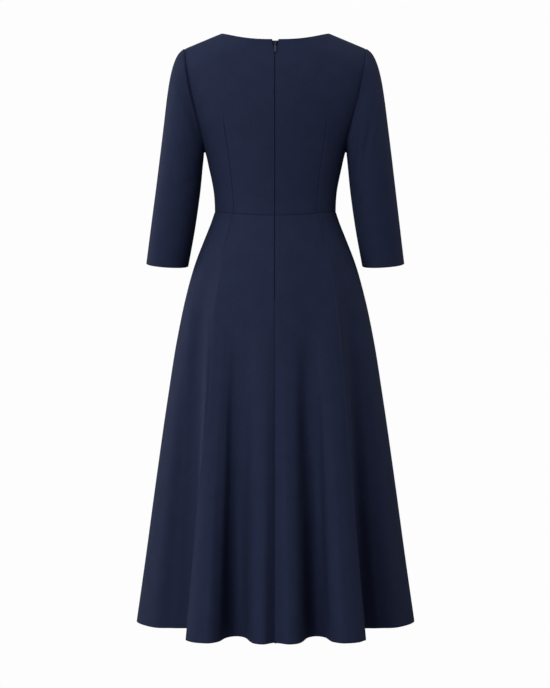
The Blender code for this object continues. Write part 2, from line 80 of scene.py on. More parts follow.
# %% Sections of the torso
# Above the underarm the half width is that of the whole shoulder, and the armhole cuts it off.
TORSO = named_rows(
    "height half_width back front",
    (-370, 124.5, 95, 98),
    (-351, 124.5, 95, 98),
    (-335, 124.7, 95, 100),
    (-310, 126.7, 97, 104),
    (-285, 131.0, 99, 110),
    (-260, 136.6, 102, 117),
    (-235, 142.2, 104, 123),
    (-227, 144.5, 105, 124),
    (-209, 151.0, 106, 126),
    (-180, 164.0, 108, 126),
    (-147, 177.0, 109, 122),
    (-117, 187.0, 108, 115),
    (-82, 196.0, 102, 104),
    (-50, 203.0, 92, 92),
    (-14, 207.0, 77, 80),
    (20, 207.0, 68, 72),
)
ARMHOLE = named_rows(
    "height out",
    (-227, 144.5),
    (-209, 145.8),
    (-181, 152.6),
    (-147, 161.2),
    (-117, 168.8),
    (-82, 175.9),
    (-50, 181.4),
    (-30, 184.0),
    (-14, 185.0),
)
ZIP_NOTCH = named_rows(
    "height half_width",
    (-34, 0.15),
    (-30, 0.4),
    (-26, 1.6),
    (-21, 3.7),
    (-15, 5.4),
    (-11, 5.9),
    (-6, 6.6),
)
# The dart's line, from the waist to its point, runs on unseen to the neck point.
DART_LINE = named_rows(
    "height out",
    (-370, 83.6),
    (-340, 84.4),
    (-312, 86.8),
    (-282, 89.4),
    (-255, 92.4),
    (-226, 96.6),
    (-184, 102.8),
    (-130, 106.5),
    (-60, 109.3),
    (16, 111.0),
)

# %% Sections of the skirt and sleeve
SKIRT = named_rows(
    "drop half_width back front",
    (0, 124.5, 95, 98),
    (20, 131.2, 99, 101),
    (57, 145.8, 108, 107),
    (100, 162.5, 119, 114),
    (175, 183.8, 134, 126),
    (260, 201.7, 150, 139),
    (380, 220.8, 171, 158),
    (550, 245.0, 201, 185),
    (720, 268.0, 233, 214),
    (840, 285.0, 256, 235),
)
# The folds, from centre back round the right side to centre front: the angle each leaves the waist
# and reaches the hem at, its place in the hem, and the share of the drop at which it starts. The left
# side mirrors them, but at the hem the right side's folds lie further out, by right_wider.
FOLDS = named_rows(
    "name waist_angle hem_angle hem_out hem_y starts right_wider",
    ("centre back seam", 0, 0, 0, -250, 0.20, 0),
    ("centre lobe", 5, 5, 23, -266, 0.25, 3),
    ("centre lobe edge", 10, 10.5, 45, -250, 0.25, 4),
    ("centre wall", 14.5, 15.5, 59, -194, 0.25, 5),
    ("back valley", 19, 19.5, 76, -176, 0.25, 5),
    ("lobe wall", 23.5, 23, 94, -192, 0.24, 3),
    ("lobe edge", 28.5, 26.5, 108, -237, 0.22, 1),
    ("lobe crest", 36, 31.5, 134, -254, 0.16, 3),
    ("gore seam", 44.2, 36.9, 170, -221, 0.10, 2),
    ("side valley", 53, 51, 164, -97, 0.10, 2),
    ("side flat", 62, 60, 206, -82, 0.12, 1),
    ("side gore", 73, 70, 248, -70, 0.12, 1),
    ("side seam", 90, 90, 285, 0, 0.15, 1),
    ("front side gore", 108, 110, 250, 69, 0.12, 0),
    ("front side valley", 122, 124, 198, 106, 0.10, 0),
    ("front fold edge", 133, 136, 180, 180, 0.10, 1),
    ("front lobe crest", 143, 145, 146, 230, 0.15, 2),
    ("front valley", 158, 160, 82, 180, 0.25, 2),
    ("centre front", 180, 180, 0, 247, 0.30, 0),
)
# The sleeve as rings from the armhole to the cuff: its body-side and outer points, its depth behind
# and before its middle, how far the middle leans to the front, and the ring's tilt.
SLEEVE = named_rows(
    "inner_x inner_z outer_x outer_z back front forward tilt_deg",
    (144.5, -227.0, 185.0, -14.0, 45, 48, 0, 0),
    (146.6, -228.6, 198.5, -24.0, 47, 50, 0, 0),
    (147.0, -230.5, 209.0, -45.0, 50, 52, 0, 0),
    (147.2, -233.0, 217.0, -76.0, 53, 53, 0, 0),
    (147.6, -237.0, 223.5, -118.0, 55, 54, 1, 1),
    (148.3, -244.0, 229.5, -168.0, 56, 55, 3, 2),
    (149.8, -258.0, 237.0, -228.0, 56, 55, 6, 3),
    (155.5, -312.0, 246.5, -300.0, 54, 53, 13, 5),
    (166.5, -385.0, 257.5, -377.0, 50, 50, 24, 7),
    (181.0, -461.0, 268.5, -454.5, 47, 47, 37, 8.5),
)
print("folds round the skirt:", 2 * len(FOLDS["name"]) - 2)

# %% [markdown]
# ## Colour and nodes
# Colours are written as sRGB hex, the way a colour picker shows them, and Blender's sockets want
# linear light, so one function turns them. One more adds any node with its options and its inputs, and
# a few add the kinds of node that come up more than once.

# %% Helpers for materials
COLOUR_A, COLOUR_B, COLOUR_OUT = 6, 7, 2  # the colour sockets of a Mix node


def linear(hex_colour):
    """An sRGB hex colour, such as "22273a", as linear RGBA."""
    channels = [int(hex_colour[i : i + 2], 16) / 255 for i in (0, 2, 4)]
    return tuple(c / 12.92 if c <= 0.04045 else ((c + 0.055) / 1.055) ** 2.4 for c in channels) + (1.0,)


def feed(tree, node, sockets):
    """Gives a node its inputs, by name or number: each a value, or the output of another node."""
    for key, value in sockets.items():
        if isinstance(value, bpy.types.NodeSocket):
            tree.links.new(value, node.inputs[key])
        else:
            node.inputs[key].default_value = value


def add_node(tree, kind, settings, sockets):
    """Adds a node with its options and its inputs."""
    node = tree.nodes.new(kind)
    for name, value in settings.items():
        setattr(node, name, value)
    feed(tree, node, sockets)
    return node


def maths(tree, operation, *values):
    """The result of a calculation with numbers or the outputs of other nodes."""
    return add_node(tree, "ShaderNodeMath", {"operation": operation}, dict(enumerate(values))).outputs[0]


def noise(tree, place, size, detail, roughness=0.5):
    """Random clouds of one size, in metres."""
    sockets = {"Vector": place, "Scale": 1 / size, "Detail": detail, "Roughness": roughness}
    return add_node(tree, "ShaderNodeTexNoise", {}, sockets).outputs["Fac"]


def mapped(tree, value, ends):
    """A value carried from one range to another. ends names those ends that aren't 0 and 1."""
    return add_node(tree, "ShaderNodeMapRange", {}, {"Value": value} | ends).outputs["Result"]


def mixed(tree, share, dark, light):
    """A colour between two sRGB hex colours."""
    sockets = {0: share, COLOUR_A: linear(dark), COLOUR_B: linear(light)}
    return add_node(tree, "ShaderNodeMix", {"data_type": "RGBA"}, sockets).outputs[COLOUR_OUT]


def new_material(name, shader_values):
    """A material whose Principled shader has the given constant values. Returns it, its tree and shader."""
    material = bpy.data.materials.new(name)
    material.use_nodes = True
    tree = material.node_tree
    shader = tree.nodes["Principled BSDF"]
    feed(tree, shader, shader_values)
    return material, tree, shader


# %% [markdown]
# ## Polyester crepe
# Crepe is woven from hard-twisted yarns that kink as they relax, which leaves a fine pebbled grain and
# no shine, only the soft bloom that fibre ends give at a grazing angle. That bloom is the sheen socket.
# Real pebbles are about 0.5 mm and the threads 0.25 mm apart; both are drawn coarser, so that they
# show at the distance of the photograph. The patterns follow a UV map named grain, in metres along the
# cloth, so threads run with each cut piece.

# %% The crepe
PEBBLE = 2.2 * MM
THREAD_PITCH = 0.9 * MM
MOTTLE = 38.0 * MM  # slow drift of the dye and of how the cloth takes the light
MOTTLE_SHARE = 0.2  # how much of it there is beside the pebbles' own speckle
THREAD_SHARE = 0.22  # how far the threads stand out beside the pebbles
GRAIN_HEIGHT = 0.35 * MM


def thread_wave(tree, position, pitch):
    """A ripple across the threads of one direction."""
    return maths(tree, "SINE", maths(tree, "MULTIPLY", position, 2 * math.pi / pitch))


def make_crepe(name, light, dark, values, pitch):
    """Woven cloth: pebbles and threads as bump, and a faint mottling of its colour."""
    material, tree, shader = new_material(name, values)
    grain = add_node(tree, "ShaderNodeUVMap", {"uv_map": "grain"}, {}).outputs["UV"]
    across, along, _ = add_node(tree, "ShaderNodeSeparateXYZ", {}, {"Vector": grain}).outputs
    pebbles = noise(tree, grain, PEBBLE, 3.0, roughness=0.65)
    drift = noise(tree, grain, MOTTLE, 2.0)
    weave = maths(tree, "MULTIPLY", thread_wave(tree, across, pitch), thread_wave(tree, along, pitch))
    height = maths(tree, "MULTIPLY_ADD", weave, THREAD_SHARE, pebbles)
    relief = {"Strength": 0.30, "Distance": GRAIN_HEIGHT, "Height": height}
    bump = add_node(tree, "ShaderNodeBump", {}, relief).outputs["Normal"]
    speckle = maths(tree, "MULTIPLY_ADD", drift, MOTTLE_SHARE, pebbles)
    share = mapped(tree, speckle, {"From Min": 0.40, "From Max": 0.80})
    feed(tree, shader, {"Base Color": mixed(tree, share, dark, light), "Normal": bump})
    return material


crepe = make_crepe(
    "polyester crepe",
    light="2a314c",
    dark="1d243c",
    values={
        "Roughness": 0.80,
        "Specular IOR Level": 0.08,
        "Sheen Weight": 0.04,
        "Sheen Roughness": 0.45,
        "Sheen Tint": linear("8f9cc8"),
    },
    pitch=THREAD_PITCH,
)
tape_weave = make_crepe(
    "polyester zip tape",
    light="1c2030",
    dark="151826",
    values={"Roughness": 0.85, "Specular IOR Level": 0.2},
    pitch=1.2 * MM,
)

# %% [markdown]
# ## Nylon and lacquered zinc
# The teeth of an invisible zip are one coil of nylon thread, a little shiny. The slider and its pull
# are cast in zinc and stove-lacquered to match the cloth: a dark, satin skin. The bridge and the
# pull's rib get a greyer lacquer, a painted highlight for the light that these raised parts catch.
# The lacquer is opaque, so its shader isn't metallic.

# %% The zip's materials
nylon, _, _ = new_material(
    "nylon coil", {"Base Color": linear("171a28"), "Roughness": 0.42, "Specular IOR Level": 0.4}
)
LACQUER_CLOUD = 2.5 * MM  # size of the patches in which the lacquer's gloss drifts


def make_lacquer(name, light, dark, values):
    """Lacquer over cast metal, with slightly uneven gloss."""
    material, tree, shader = new_material(name, values)
    place = add_node(tree, "ShaderNodeTexCoord", {}, {}).outputs["Object"]
    cloud = noise(tree, place, LACQUER_CLOUD, 3.0)
    colour = mixed(tree, cloud, dark, light)
    gloss = mapped(tree, cloud, {"To Min": 0.42, "To Max": 0.58})
    feed(tree, shader, {"Base Color": colour, "Roughness": gloss})
    return material


lacquer = make_lacquer("lacquered zinc, dark", "151928", "0e111c", {"Specular IOR Level": 0.25})
# The greyer lacquer is a painted highlight: it stands in for the light on the bridge and the rib.
painted_highlight_lacquer = make_lacquer("lacquered zinc, painted highlight", "42465b", "34384b", {"Specular IOR Level": 0.3})
print("materials:", [m.name for m in bpy.data.materials if m.users or m.use_nodes])

# %% [markdown]
# ## Reading the tables as smooth surfaces
# Each surface is a function of two numbers, such as how far across a panel and how far up. Reading a
# short table through cubic curves gives a smooth surface that can be sampled as finely as needed. One
# polynomial through all of a table's rows would waver between them.


# %% Curves through tables
def smooth(at, places, values):
    """A smooth curve through a table's rows, read at one or many places."""
    places = places.astype(float)
    slopes = np.gradient(values.astype(float), places)
    low = np.clip(np.searchsorted(places, at) - 1, 0, len(places) - 2)
    span = places[low + 1] - places[low]
    part = np.clip((at - places[low]) / span, 0, 1)
    rise = values[low + 1] - values[low]
    pull_low = part * (1 - part) ** 2 * span * slopes[low]
    pull_high = part**2 * (part - 1) * span * slopes[low + 1]
    return values[low] + rise * part**2 * (3 - 2 * part) + pull_low + pull_high


def read_table(table, column, at):
    """One column of a table, read smoothly at places in its first column."""
    return smooth(at, table[next(iter(table))], table[column])


def unit(vectors):
    """The same directions at length 1."""
    return vectors / np.maximum(np.linalg.norm(vectors, axis=-1, keepdims=True), 1e-9)


def outward(surface, across, up, step=1e-3):
    """Directions square to a surface, from two short steps along it."""
    sideways = surface(across + step, up) - surface(across - step, up)
    upward = surface(across, up + step) - surface(across, up - step)
    return unit(np.cross(sideways, upward))


def mirrored(points):
    """The same points on the other side of the body."""
    return points * np.array([-1.0, 1.0, 1.0])


def both_sides(points, out):
    """Each side's name, points and outward directions, from those on the right."""
    return ("right", points, out), ("left", mirrored(points), mirrored(out))


def both_halves(right, left):
    """The whole of a grid from its right half and the mirror image of that, which share a column."""
    return np.concatenate([left[:, ::-1], right[:, 1:]], axis=1)


def travelled(points, axis):
    """Distances along a grid from its first column (axis 1) or its first row (axis 0)."""
    steps = np.linalg.norm(np.diff(points, axis=axis), axis=-1)
    return np.concatenate([0 * steps.take([0], axis), np.cumsum(steps, axis=axis)], axis=axis)


# %% The torso's surface
UNDERARM_SHARE = (UNDERARM_Z - WAIST_Z) / (SHOULDER_TIP_Z - WAIST_Z)


def ridge_z(x):
    """Height of the shoulder seam, carried on over the neck opening."""
    return SHOULDER_TIP_Z + SHOULDER_SLOPE * (SHOULDER_TIP_X - np.abs(x))


def edge_angle(z):
    """Angle of a panel's outer edge: the side seam, and above it the armhole."""
    out = read_table(ARMHOLE, "out", z)
    whole = read_table(TORSO, "half_width", z)
    return np.where(z < UNDERARM_Z, math.pi / 2, np.arcsin(np.clip(out / whole, 0, 1)))


def slit_angle(face, z):
    """Angle of the centre back edge, which opens into the zip's V at the neck."""
    if face == "front":
        return 0 * z
    slit = read_table(ZIP_NOTCH, "half_width", z)
    return np.arcsin(slit / read_table(TORSO, "half_width", z))


TOP_ANGLE = float(edge_angle(np.array(SHOULDER_TIP_Z)))
SHOULDER_WHOLE = SHOULDER_TIP_X / math.sin(TOP_ANGLE)
NECK_SHARE = math.asin(NECK_HALF_WIDTH / SHOULDER_WHOLE) / TOP_ANGLE


def bodice_point(face, across, up):
    """A point of a half panel on the right: across runs from its middle to its outer edge, up from
    the waist to the top, both from 0 to 1."""
    top_x = SHOULDER_WHOLE * np.sin(across * TOP_ANGLE)
    neck = np.clip(np.abs(top_x) / NECK_HALF_WIDTH, 0, 1)
    neckline = ridge_z(NECK_HALF_WIDTH) - NECK_DROP[face] * (1 - neck**NECK_CURVE)
    top_z = np.where(top_x < NECK_HALF_WIDTH, neckline, ridge_z(top_x))
    dip = WAIST_DIP_BACK * np.clip(np.cos(across * math.pi / 2), 0, 1) ** 2 if face == "back" else 0.0
    low_z = WAIST_Z - dip
    z = low_z + up * (top_z - low_z)
    first = slit_angle(face, z)
    angle = first + across * (edge_angle(z) - first)
    x = read_table(TORSO, "half_width", z) * np.sin(angle)
    below_ridge = np.clip((ridge_z(x) - z) / SHOULDER_ROLL, 0, 1)
    y = read_table(TORSO, face, z) * np.cos(angle) * np.sqrt(1 - (1 - below_ridge) ** 2)
    return np.stack([x, -y if face == "back" else y, z], axis=-1)


def bodice_outward(face, across, up):
    """Directions out of a bodice panel. On the shoulder seam both panels share the same one."""
    sign = 1.0 if face == "back" else -1.0
    normals = sign * outward(lambda a, u: bodice_point(face, a, u), across, up)
    square = unit(np.array([SHOULDER_SLOPE, 0.0, 1.0]))
    on_shoulder = (up >= 1) & (across >= NECK_SHARE - 1e-6)
    return np.where(on_shoulder[..., None], square, normals)


# %% The sleeve's surface
def armhole_point(turn):
    """The armhole seam. turn goes from the underarm up the back, over the shoulder and down the front."""
    up = UNDERARM_SHARE + (1 - UNDERARM_SHARE) * (1 - np.cos(turn)) / 2
    edge = 1 + 0 * turn
    back, front = (
        np.stack([bodice_point(face, edge, up), bodice_outward(face, edge, up)]) for face in ("back", "front")
    )
    return np.where((np.mod(turn, 2 * math.pi) <= math.pi)[..., None], back, front)


def sleeve_point(station, turn):
    """A point of the right sleeve. station counts down the rows of SLEEVE, turn goes round as above."""
    rows = np.arange(len(SLEEVE["inner_x"]))

    def ring(where):
        at = {name: smooth(where, rows, SLEEVE[name]) for name in SLEEVE}
        x = (at["inner_x"] + at["outer_x"]) / 2 - (at["outer_x"] - at["inner_x"]) / 2 * np.cos(turn)
        z = (at["inner_z"] + at["outer_z"]) / 2 - (at["outer_z"] - at["inner_z"]) / 2 * np.cos(turn)
        reach = np.where(np.sin(turn) > 0, -at["back"], -at["front"]) * np.sin(turn)
        return np.stack([x, at["forward"] + reach, z + reach * np.tan(np.radians(at["tilt_deg"]))], axis=-1)

    fade = np.clip(1 - station / SLEEVE_HEAD_STATIONS, 0, 1) ** 2
    return ring(station) + fade[..., None] * (armhole_point(turn)[0] - ring(0 * station))


# %% The skirt's surface
def around(turn, right, left, whole=0.0):
    """Reads values known at the folds, up the right side and back down the left without its ends, on a
    smooth closed curve. whole is what a full turn adds to them."""
    values = np.concatenate([right, left[-2:0:-1]])
    padded = np.concatenate([values[-3:] - whole, values, values[:3] + whole])
    return smooth(turn, np.arange(-3, len(values) + 3), padded)


def cone_point(angle, drop):
    """Where the skirt would hang without folds."""
    half_width = read_table(SKIRT, "half_width", drop)
    depth = np.where(np.cos(angle) > 0, read_table(SKIRT, "back", drop), read_table(SKIRT, "front", drop))
    return half_width * np.sin(angle), -depth * np.cos(angle)


def skirt_point(turn, share):
    """A point of the skirt. turn counts folds from centre back, share runs from the waist to the hem."""
    fold = FOLDS
    waist_angle = np.radians(around(turn, fold["waist_angle"], 360 - fold["waist_angle"], 360.0))
    hem_angle = np.radians(around(turn, fold["hem_angle"], 360 - fold["hem_angle"], 360.0))
    hem_x = around(turn, fold["hem_out"] + fold["right_wider"], -fold["hem_out"])
    hem_y = around(turn, fold["hem_y"], fold["hem_y"])
    start = around(turn, fold["starts"], fold["starts"])
    length = WAIST_Z - HEM_Z
    angle = hem_angle + (waist_angle - hem_angle) * (1 - share) ** FOLD_SETTLING
    top = WAIST_Z - WAIST_DIP_BACK * np.clip(np.cos(waist_angle), 0, 1) ** 2
    cone_x, cone_y = cone_point(angle, share * length)
    hem_cone_x, hem_cone_y = cone_point(hem_angle, length + 0 * hem_angle)
    growth = np.clip((share - start) / (1 - start), 0, 1) ** FOLD_GROWTH
    x = cone_x + growth * (hem_x - hem_cone_x)
    y = cone_y + growth * (hem_y - hem_cone_y)
    return np.stack([x, y, top + share * (HEM_Z - top)], axis=-1)


print("waist at the side:", np.round(skirt_point(np.array(9.0), np.array(0.0)), 1))

# %% [markdown]
# ## Seams, hems and creases
# Where two pieces are stitched, each rolls in towards the thread in a tight quarter round, and the
# line between them goes dark. So the grids are crowded beside each seam, where the roll is only a
# millimetre wide, and even elsewhere. A hem is the cloth turned up inside: from its upper edge down the
# wall is twice as thick. A crease is a soft ridge or trough along a short bowed line, placed one by one,
# because a photograph of one dress fixes each crease, and a simulation would make others.

# %% Seam and hem sizes
CLOTH = 1.1  # thickness of one layer
# Each of these has the width and depth of the roll, then those of the soft dip beside it.
SEAM = (1.0, 1.8, 2.5, 0.3)
GORE_GROOVE = (0.8, 1.0, 2.0, 0.2)  # a gore's seam above the folds, pressed flat
SLIT = (1.1, 1.1, 2.0, 0.1)  # the zip's opening, where the tape lies close behind
DART = (1.0, 2.6, 4.0, 0.5)
ARMHOLE_EDGE = (0.6, 1.0, 1.6, 0.2)
SLEEVE_HEAD_EDGE = (1.3, 1.8, 3.0, 0.4)
HEM = (0.9, 0.9, 1.0, 0.0)
SEAM_STEPS = np.array([0.0, 0.08, 0.28, 0.6, 1.0, 1.7, 2.8, 4.5])  # columns beside a seam
HEM_STEPS = np.array([4.0, 2.2, 1.2, 0.6, 0.25, 0.0])  # rows above the fold of a hem
SKIRT_HEM = 32.0
CUFF_HEM = 26.0
HEM_LAYER = 0.9  # what the turned-up cloth adds inside
HEM_EDGE = 0.35  # half the width of the step at the hem's inner edge
ALLOWANCE_FOLD = 1.5  # how wide an allowance is that stands inside along a seam
CREASE_CLEAR = 6.0  # creases fade out this near to a seam
CREASE_FADE = 1.5  # how softly a crease runs out at its ends


def between_seams(length, spacing):
    """Places from one seam to the next in millimetres, crowded beside both."""
    near = SEAM_STEPS
    count = max(2, round((length - 2 * near[-1]) / spacing))
    middle = np.linspace(near[-1], length - near[-1], count + 1)[1:-1]
    return np.concatenate([near, middle, length - near[::-1]])


def seam_depth(distance, seam):
    """How deep the cloth lies at a distance from the thread: a tight quarter round in a soft dip."""
    roll_width, roll_depth, dip_width, dip_depth = seam
    tight = np.clip(1 - distance / roll_width, 0, 1)
    soft = np.clip(1 - distance / dip_width, 0, 1)
    return roll_depth * (1 - np.sqrt(1 - tight**2)) + dip_depth * soft**2


def hem_rows(hem):
    """Distances above a hem's fold: both sides of its inner edge, a few rows down the hem, the fold."""
    return np.concatenate([[hem + HEM_EDGE, hem - HEM_EDGE], np.linspace(hem - 3, 7, 6), HEM_STEPS])


def hemmed(above_fold, hem):
    """Thickness of the cloth at a distance above its fold: two layers from the hem's inner edge down."""
    return CLOTH + HEM_LAYER * np.clip((hem - above_fold) / HEM_EDGE / 2 + 0.5, 0, 1)


def crease_height(u, v, creases):
    """Ridges and troughs along bowed lines, each fading out at both ends."""
    total = 0 * u
    for u0, v0, u1, v1, bow, half_width, height in zip(*creases.values()):
        run = np.array([u1 - u0, v1 - v0], float)
        length = np.linalg.norm(run)
        along = ((u - u0) * run[0] + (v - v0) * run[1]) / length**2
        inside = np.clip(along, 0, 1)
        off = ((v - v0) * run[0] - (u - u0) * run[1]) / length - bow * np.sin(math.pi * inside)
        total = total + height * np.sin(math.pi * inside) ** CREASE_FADE * np.exp(-((off / half_width) ** 2))
    return total


# %% Turning a grid into a closed shell
EDGE_BULGE = 0.4  # how far an edge of the cloth is rounded out, as a share of its thickness


def grain_map(points):
    """Distances along the cloth, in metres: across from the middle column, and up that column."""
    middle = [points.shape[1] // 2]
    across = travelled(points, axis=1)
    up = travelled(points[:, middle], axis=0) + 0 * across
    return np.stack([across - across[:, middle], up], axis=-1) * MM


def border(rows, columns):
    """Grid positions once round the edge, as two index arrays."""
    low, high = np.zeros(columns, int), np.full(columns - 1, rows - 1)
    left, right = np.zeros(rows - 2, int), np.full(rows - 1, columns - 1)
    r = np.concatenate([low, np.arange(1, rows), high, np.arange(rows - 2, 0, -1)])
    c = np.concatenate([np.arange(columns), right, np.arange(columns - 2, -1, -1), left])
    return r, c


def shell_object(name, base, out, relief, thickness, material):
    """A closed shell of cloth: an outer skin raised by relief, an inner skin, and a rounded edge."""
    outer = base + out * relief[..., None]
    inner = base + out * (relief - thickness)[..., None]
    rows, columns = base.shape[:2]
    r, c = border(rows, columns)
    inside_r = np.clip(r, 1, rows - 2)
    inside_c = np.clip(c, 1, columns - 2)
    away = unit(base[r, c] - base[inside_r, inside_c])
    gap = np.linalg.norm(outer[r, c] - inner[r, c], axis=-1, keepdims=True)
    middle = (outer[r, c] + inner[r, c]) / 2 + away * gap * EDGE_BULGE
    points = np.concatenate([outer.reshape(-1, 3), inner.reshape(-1, 3), middle])
    count = rows * columns
    index = np.arange(count).reshape(rows, columns)
    skin = np.stack([index[:-1, :-1], index[:-1, 1:], index[1:, 1:], index[1:, :-1]], axis=-1).reshape(-1, 4)
    ring = index[r, c]
    ring_next = np.roll(ring, -1)
    mid = 2 * count + np.arange(len(ring))
    mid_next = np.roll(mid, -1)
    quads = np.concatenate(
        [
            skin,
            skin[:, ::-1] + count,
            np.stack([ring_next, ring, mid, mid_next], axis=-1),
            np.stack([mid_next, mid, ring + count, ring_next + count], axis=-1),
        ]
    )
    turned = np.cross(base[1:, 1:] - base[:-1, :-1], base[1:, :-1] - base[:-1, 1:])
    if (turned * out[:-1, :-1]).sum() < 0:
        quads = quads[:, ::-1]
    grain = grain_map(base)
    flat = np.concatenate([grain.reshape(-1, 2), grain.reshape(-1, 2), grain[r, c]])
    return mesh_object(name, points, quads, flat, material)


# %% Meshes and objects
def add_object(name, data):
    """An object in the scene with the given mesh, curve, light or camera."""
    made = bpy.data.objects.new(name, data)
    bpy.context.scene.collection.objects.link(made)
    return made


def finished_object(name, mesh, material, sharp_deg):
    """An object made of a mesh, in one material, smooth but for edges sharper than an angle."""
    mesh.materials.append(material)
    mesh.shade_smooth()
    mesh.set_sharp_from_angle(angle=math.radians(sharp_deg))
    return add_object(name, mesh)


def mesh_object(name, points, quads, flat, material):
    """An object from points in millimetres, faces as rows of indices, and a grain map."""
    mesh = bpy.data.meshes.new(name)
    mesh.from_pydata((points * MM).tolist(), [], quads.tolist())
    layer = mesh.uv_layers.new(name="grain")
    corners = np.zeros(len(mesh.loops), np.int32)
    mesh.loops.foreach_get("vertex_index", corners)
    layer.data.foreach_set("uv", flat[corners].astype(np.float32).ravel())
    return finished_object(name, mesh, material, sharp_deg=55)


def hang(piece, node):
    """Makes a shell stand for its CAD node and ride with the dress."""
    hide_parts(node)
    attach(piece, "dress")


# %% [markdown]
# ## The bodice
# The back is two panels, each shaped by one dart that runs up from the waist and thins to nothing
# below the shoulder blade. The front is one panel with the same pair of darts up to the bust. The grid
# is laid so that one column follows the dart, because a groove a millimetre wide needs an edge of its
# own to lie on. Along the armhole the cloth folds in, deepest low down behind the arm, and its seam
# allowance stands inside, which closes the seam to the light.

# %% Rows and columns of a panel
BODICE_SPACING = 3.0
TO_DART = 105.0  # nominal widths of the two parts of a half panel
TO_EDGE = 95.0
ARMHOLE_ALLOWANCE = 3.8  # the seam allowance that stands inside along the armhole
ARMHOLE_LOW_DEG = 115.0  # how far up from the underarm the armhole folds in
ARMHOLE_LOW_BIAS = 0.58  # below 1, it is deepest nearer to the underarm
ARMHOLE_DEEPER = 1.6  # how much deeper its groove is there, in times its own depth
DART_POINT = {"back": -164.0, "front": -212.0}  # the height at which each dart ends
DART_FADE = 20.0  # the dart runs out over its last millimetres
DART_THINNING = 0.7  # below 1, it keeps most of its depth until near its point
UPPER_ROWS = 72  # rows from the underarm over the round of the shoulder
TURN_PER_MM = 1 / 75.0  # at the top, a row's parameter for each millimetre along the shoulder
FAR = 99.0  # a distance that no seam's groove reaches


def bodice_ups():
    """Shares of the way up, crowded beside the waist seam and over the round of the shoulder."""
    height = SHOULDER_TIP_Z - WAIST_Z
    low = UNDERARM_SHARE * height
    near = SEAM_STEPS
    even = np.linspace(near[-1], low, round((low - near[-1]) / BODICE_SPACING) + 1)
    lower = np.concatenate([near, even[1:]])
    top = near[::-1] * TURN_PER_MM
    swing = np.linspace(0, math.pi / 2 - top[0], UPPER_ROWS)[1:]
    swing = np.concatenate([swing, math.pi / 2 - top[1:]])
    upper = UNDERARM_SHARE + (1 - UNDERARM_SHARE) * np.sin(swing)
    from_shoulder = np.concatenate([np.full(len(lower), FAR), (math.pi / 2 - swing) / TURN_PER_MM])
    from_waist = np.concatenate([lower, upper * height])
    return np.concatenate([lower / height, upper]), from_waist, from_shoulder


def dart_share(face, ups):
    """How far across a panel the dart's line lies at each row, found by a few repeated looks."""
    share = np.full_like(ups, NECK_SHARE)
    for _ in range(8):
        z = bodice_point(face, share, ups)[..., 2]
        first = slit_angle(face, z)
        out = read_table(DART_LINE, "out", z)
        angle = np.arcsin(out / read_table(TORSO, "half_width", z))
        share = (angle - first) / (edge_angle(z) - first)
    share[-1] = NECK_SHARE
    return share


def low_armhole(degrees):
    """How much the armhole folds in at a place counted from the underarm: most behind the arm."""
    part = np.clip(degrees / ARMHOLE_LOW_DEG, 0, 1)
    return np.sin(math.pi * part**ARMHOLE_LOW_BIAS) ** 2


def bodice_grid(face):
    """Outer points, outward directions, seam relief, thickness and distance from the middle, of a half
    panel on the right."""
    ups, from_waist, from_shoulder = bodice_ups()
    line = dart_share(face, ups)[:, None]
    inner = between_seams(TO_DART, BODICE_SPACING)
    outer = between_seams(TO_EDGE, BODICE_SPACING)
    across = np.concatenate([inner / TO_DART * line, line + outer[1:] / TO_EDGE * (1 - line)], axis=1)
    across[-1, len(inner) - 1] = NECK_SHARE
    up = ups[:, None] + 0 * across
    points = bodice_point(face, across, up)
    from_middle = np.concatenate([inner, TO_DART + outer[1:]])
    from_edge = TO_DART + TO_EDGE - from_middle
    dart_left = np.clip((DART_POINT[face] - points[..., 2]) / DART_FADE, 0, 1) ** DART_THINNING
    on_shoulder = np.clip((np.abs(points[..., 0]) - NECK_HALF_WIDTH) / 2, 0, 1)
    rise = np.clip((up - UNDERARM_SHARE) / (1 - UNDERARM_SHARE), 0, 1)
    low = low_armhole(np.degrees(np.arccos(1 - 2 * rise)))
    armhole = seam_depth(from_edge, ARMHOLE_EDGE) * (1 + ARMHOLE_DEEPER * low)
    grooves = [
        np.where(up > UNDERARM_SHARE, armhole, seam_depth(from_edge, SEAM)),
        seam_depth(np.abs(from_middle - TO_DART), DART) * dart_left,
        seam_depth(from_waist, SEAM)[:, None] + 0 * up,
        seam_depth(from_shoulder, SEAM)[:, None] * on_shoulder,
    ]
    if face == "back":
        grooves.append(seam_depth(from_middle, SLIT) + 0 * up)
    turned_in = ARMHOLE_ALLOWANCE * np.exp(-((from_edge / ALLOWANCE_FOLD) ** 2)) * (up > UNDERARM_SHARE)
    relief = -np.maximum.reduce(grooves)
    return points, bodice_outward(face, across, up), relief, CLOTH + turned_in, from_middle


# %% The centre back, which has pulled over a little
SLIT_EDGE = {"left": -1.45, "right": -0.1}  # how far each edge of the closed slit moves, in x
CENTRE_SEAM_X = -0.65  # and how far the seam below the zip does
SLIT_CLOSED = 1.5  # from this half width on the V is open
SLIT_REACH = 2.5  # how far beside the centre back the cloth moves with its edge
SLIT_FADE = 12.0  # the zip's slit goes over into the seam in its last millimetres


def slit_shift(side, z, from_middle):
    """How far the cloth beside the centre back moves in x: into the zip's slit, and below it the seam."""
    closed = np.clip(SLIT_CLOSED - read_table(ZIP_NOTCH, "half_width", z), 0, 1)
    zipped = np.clip((z - ZIP_FOOT_Z) / SLIT_FADE, 0, 1)
    edge = CENTRE_SEAM_X + (SLIT_EDGE[side] - CENTRE_SEAM_X) * zipped
    return edge * closed * np.exp(-((from_middle / SLIT_REACH) ** 2))


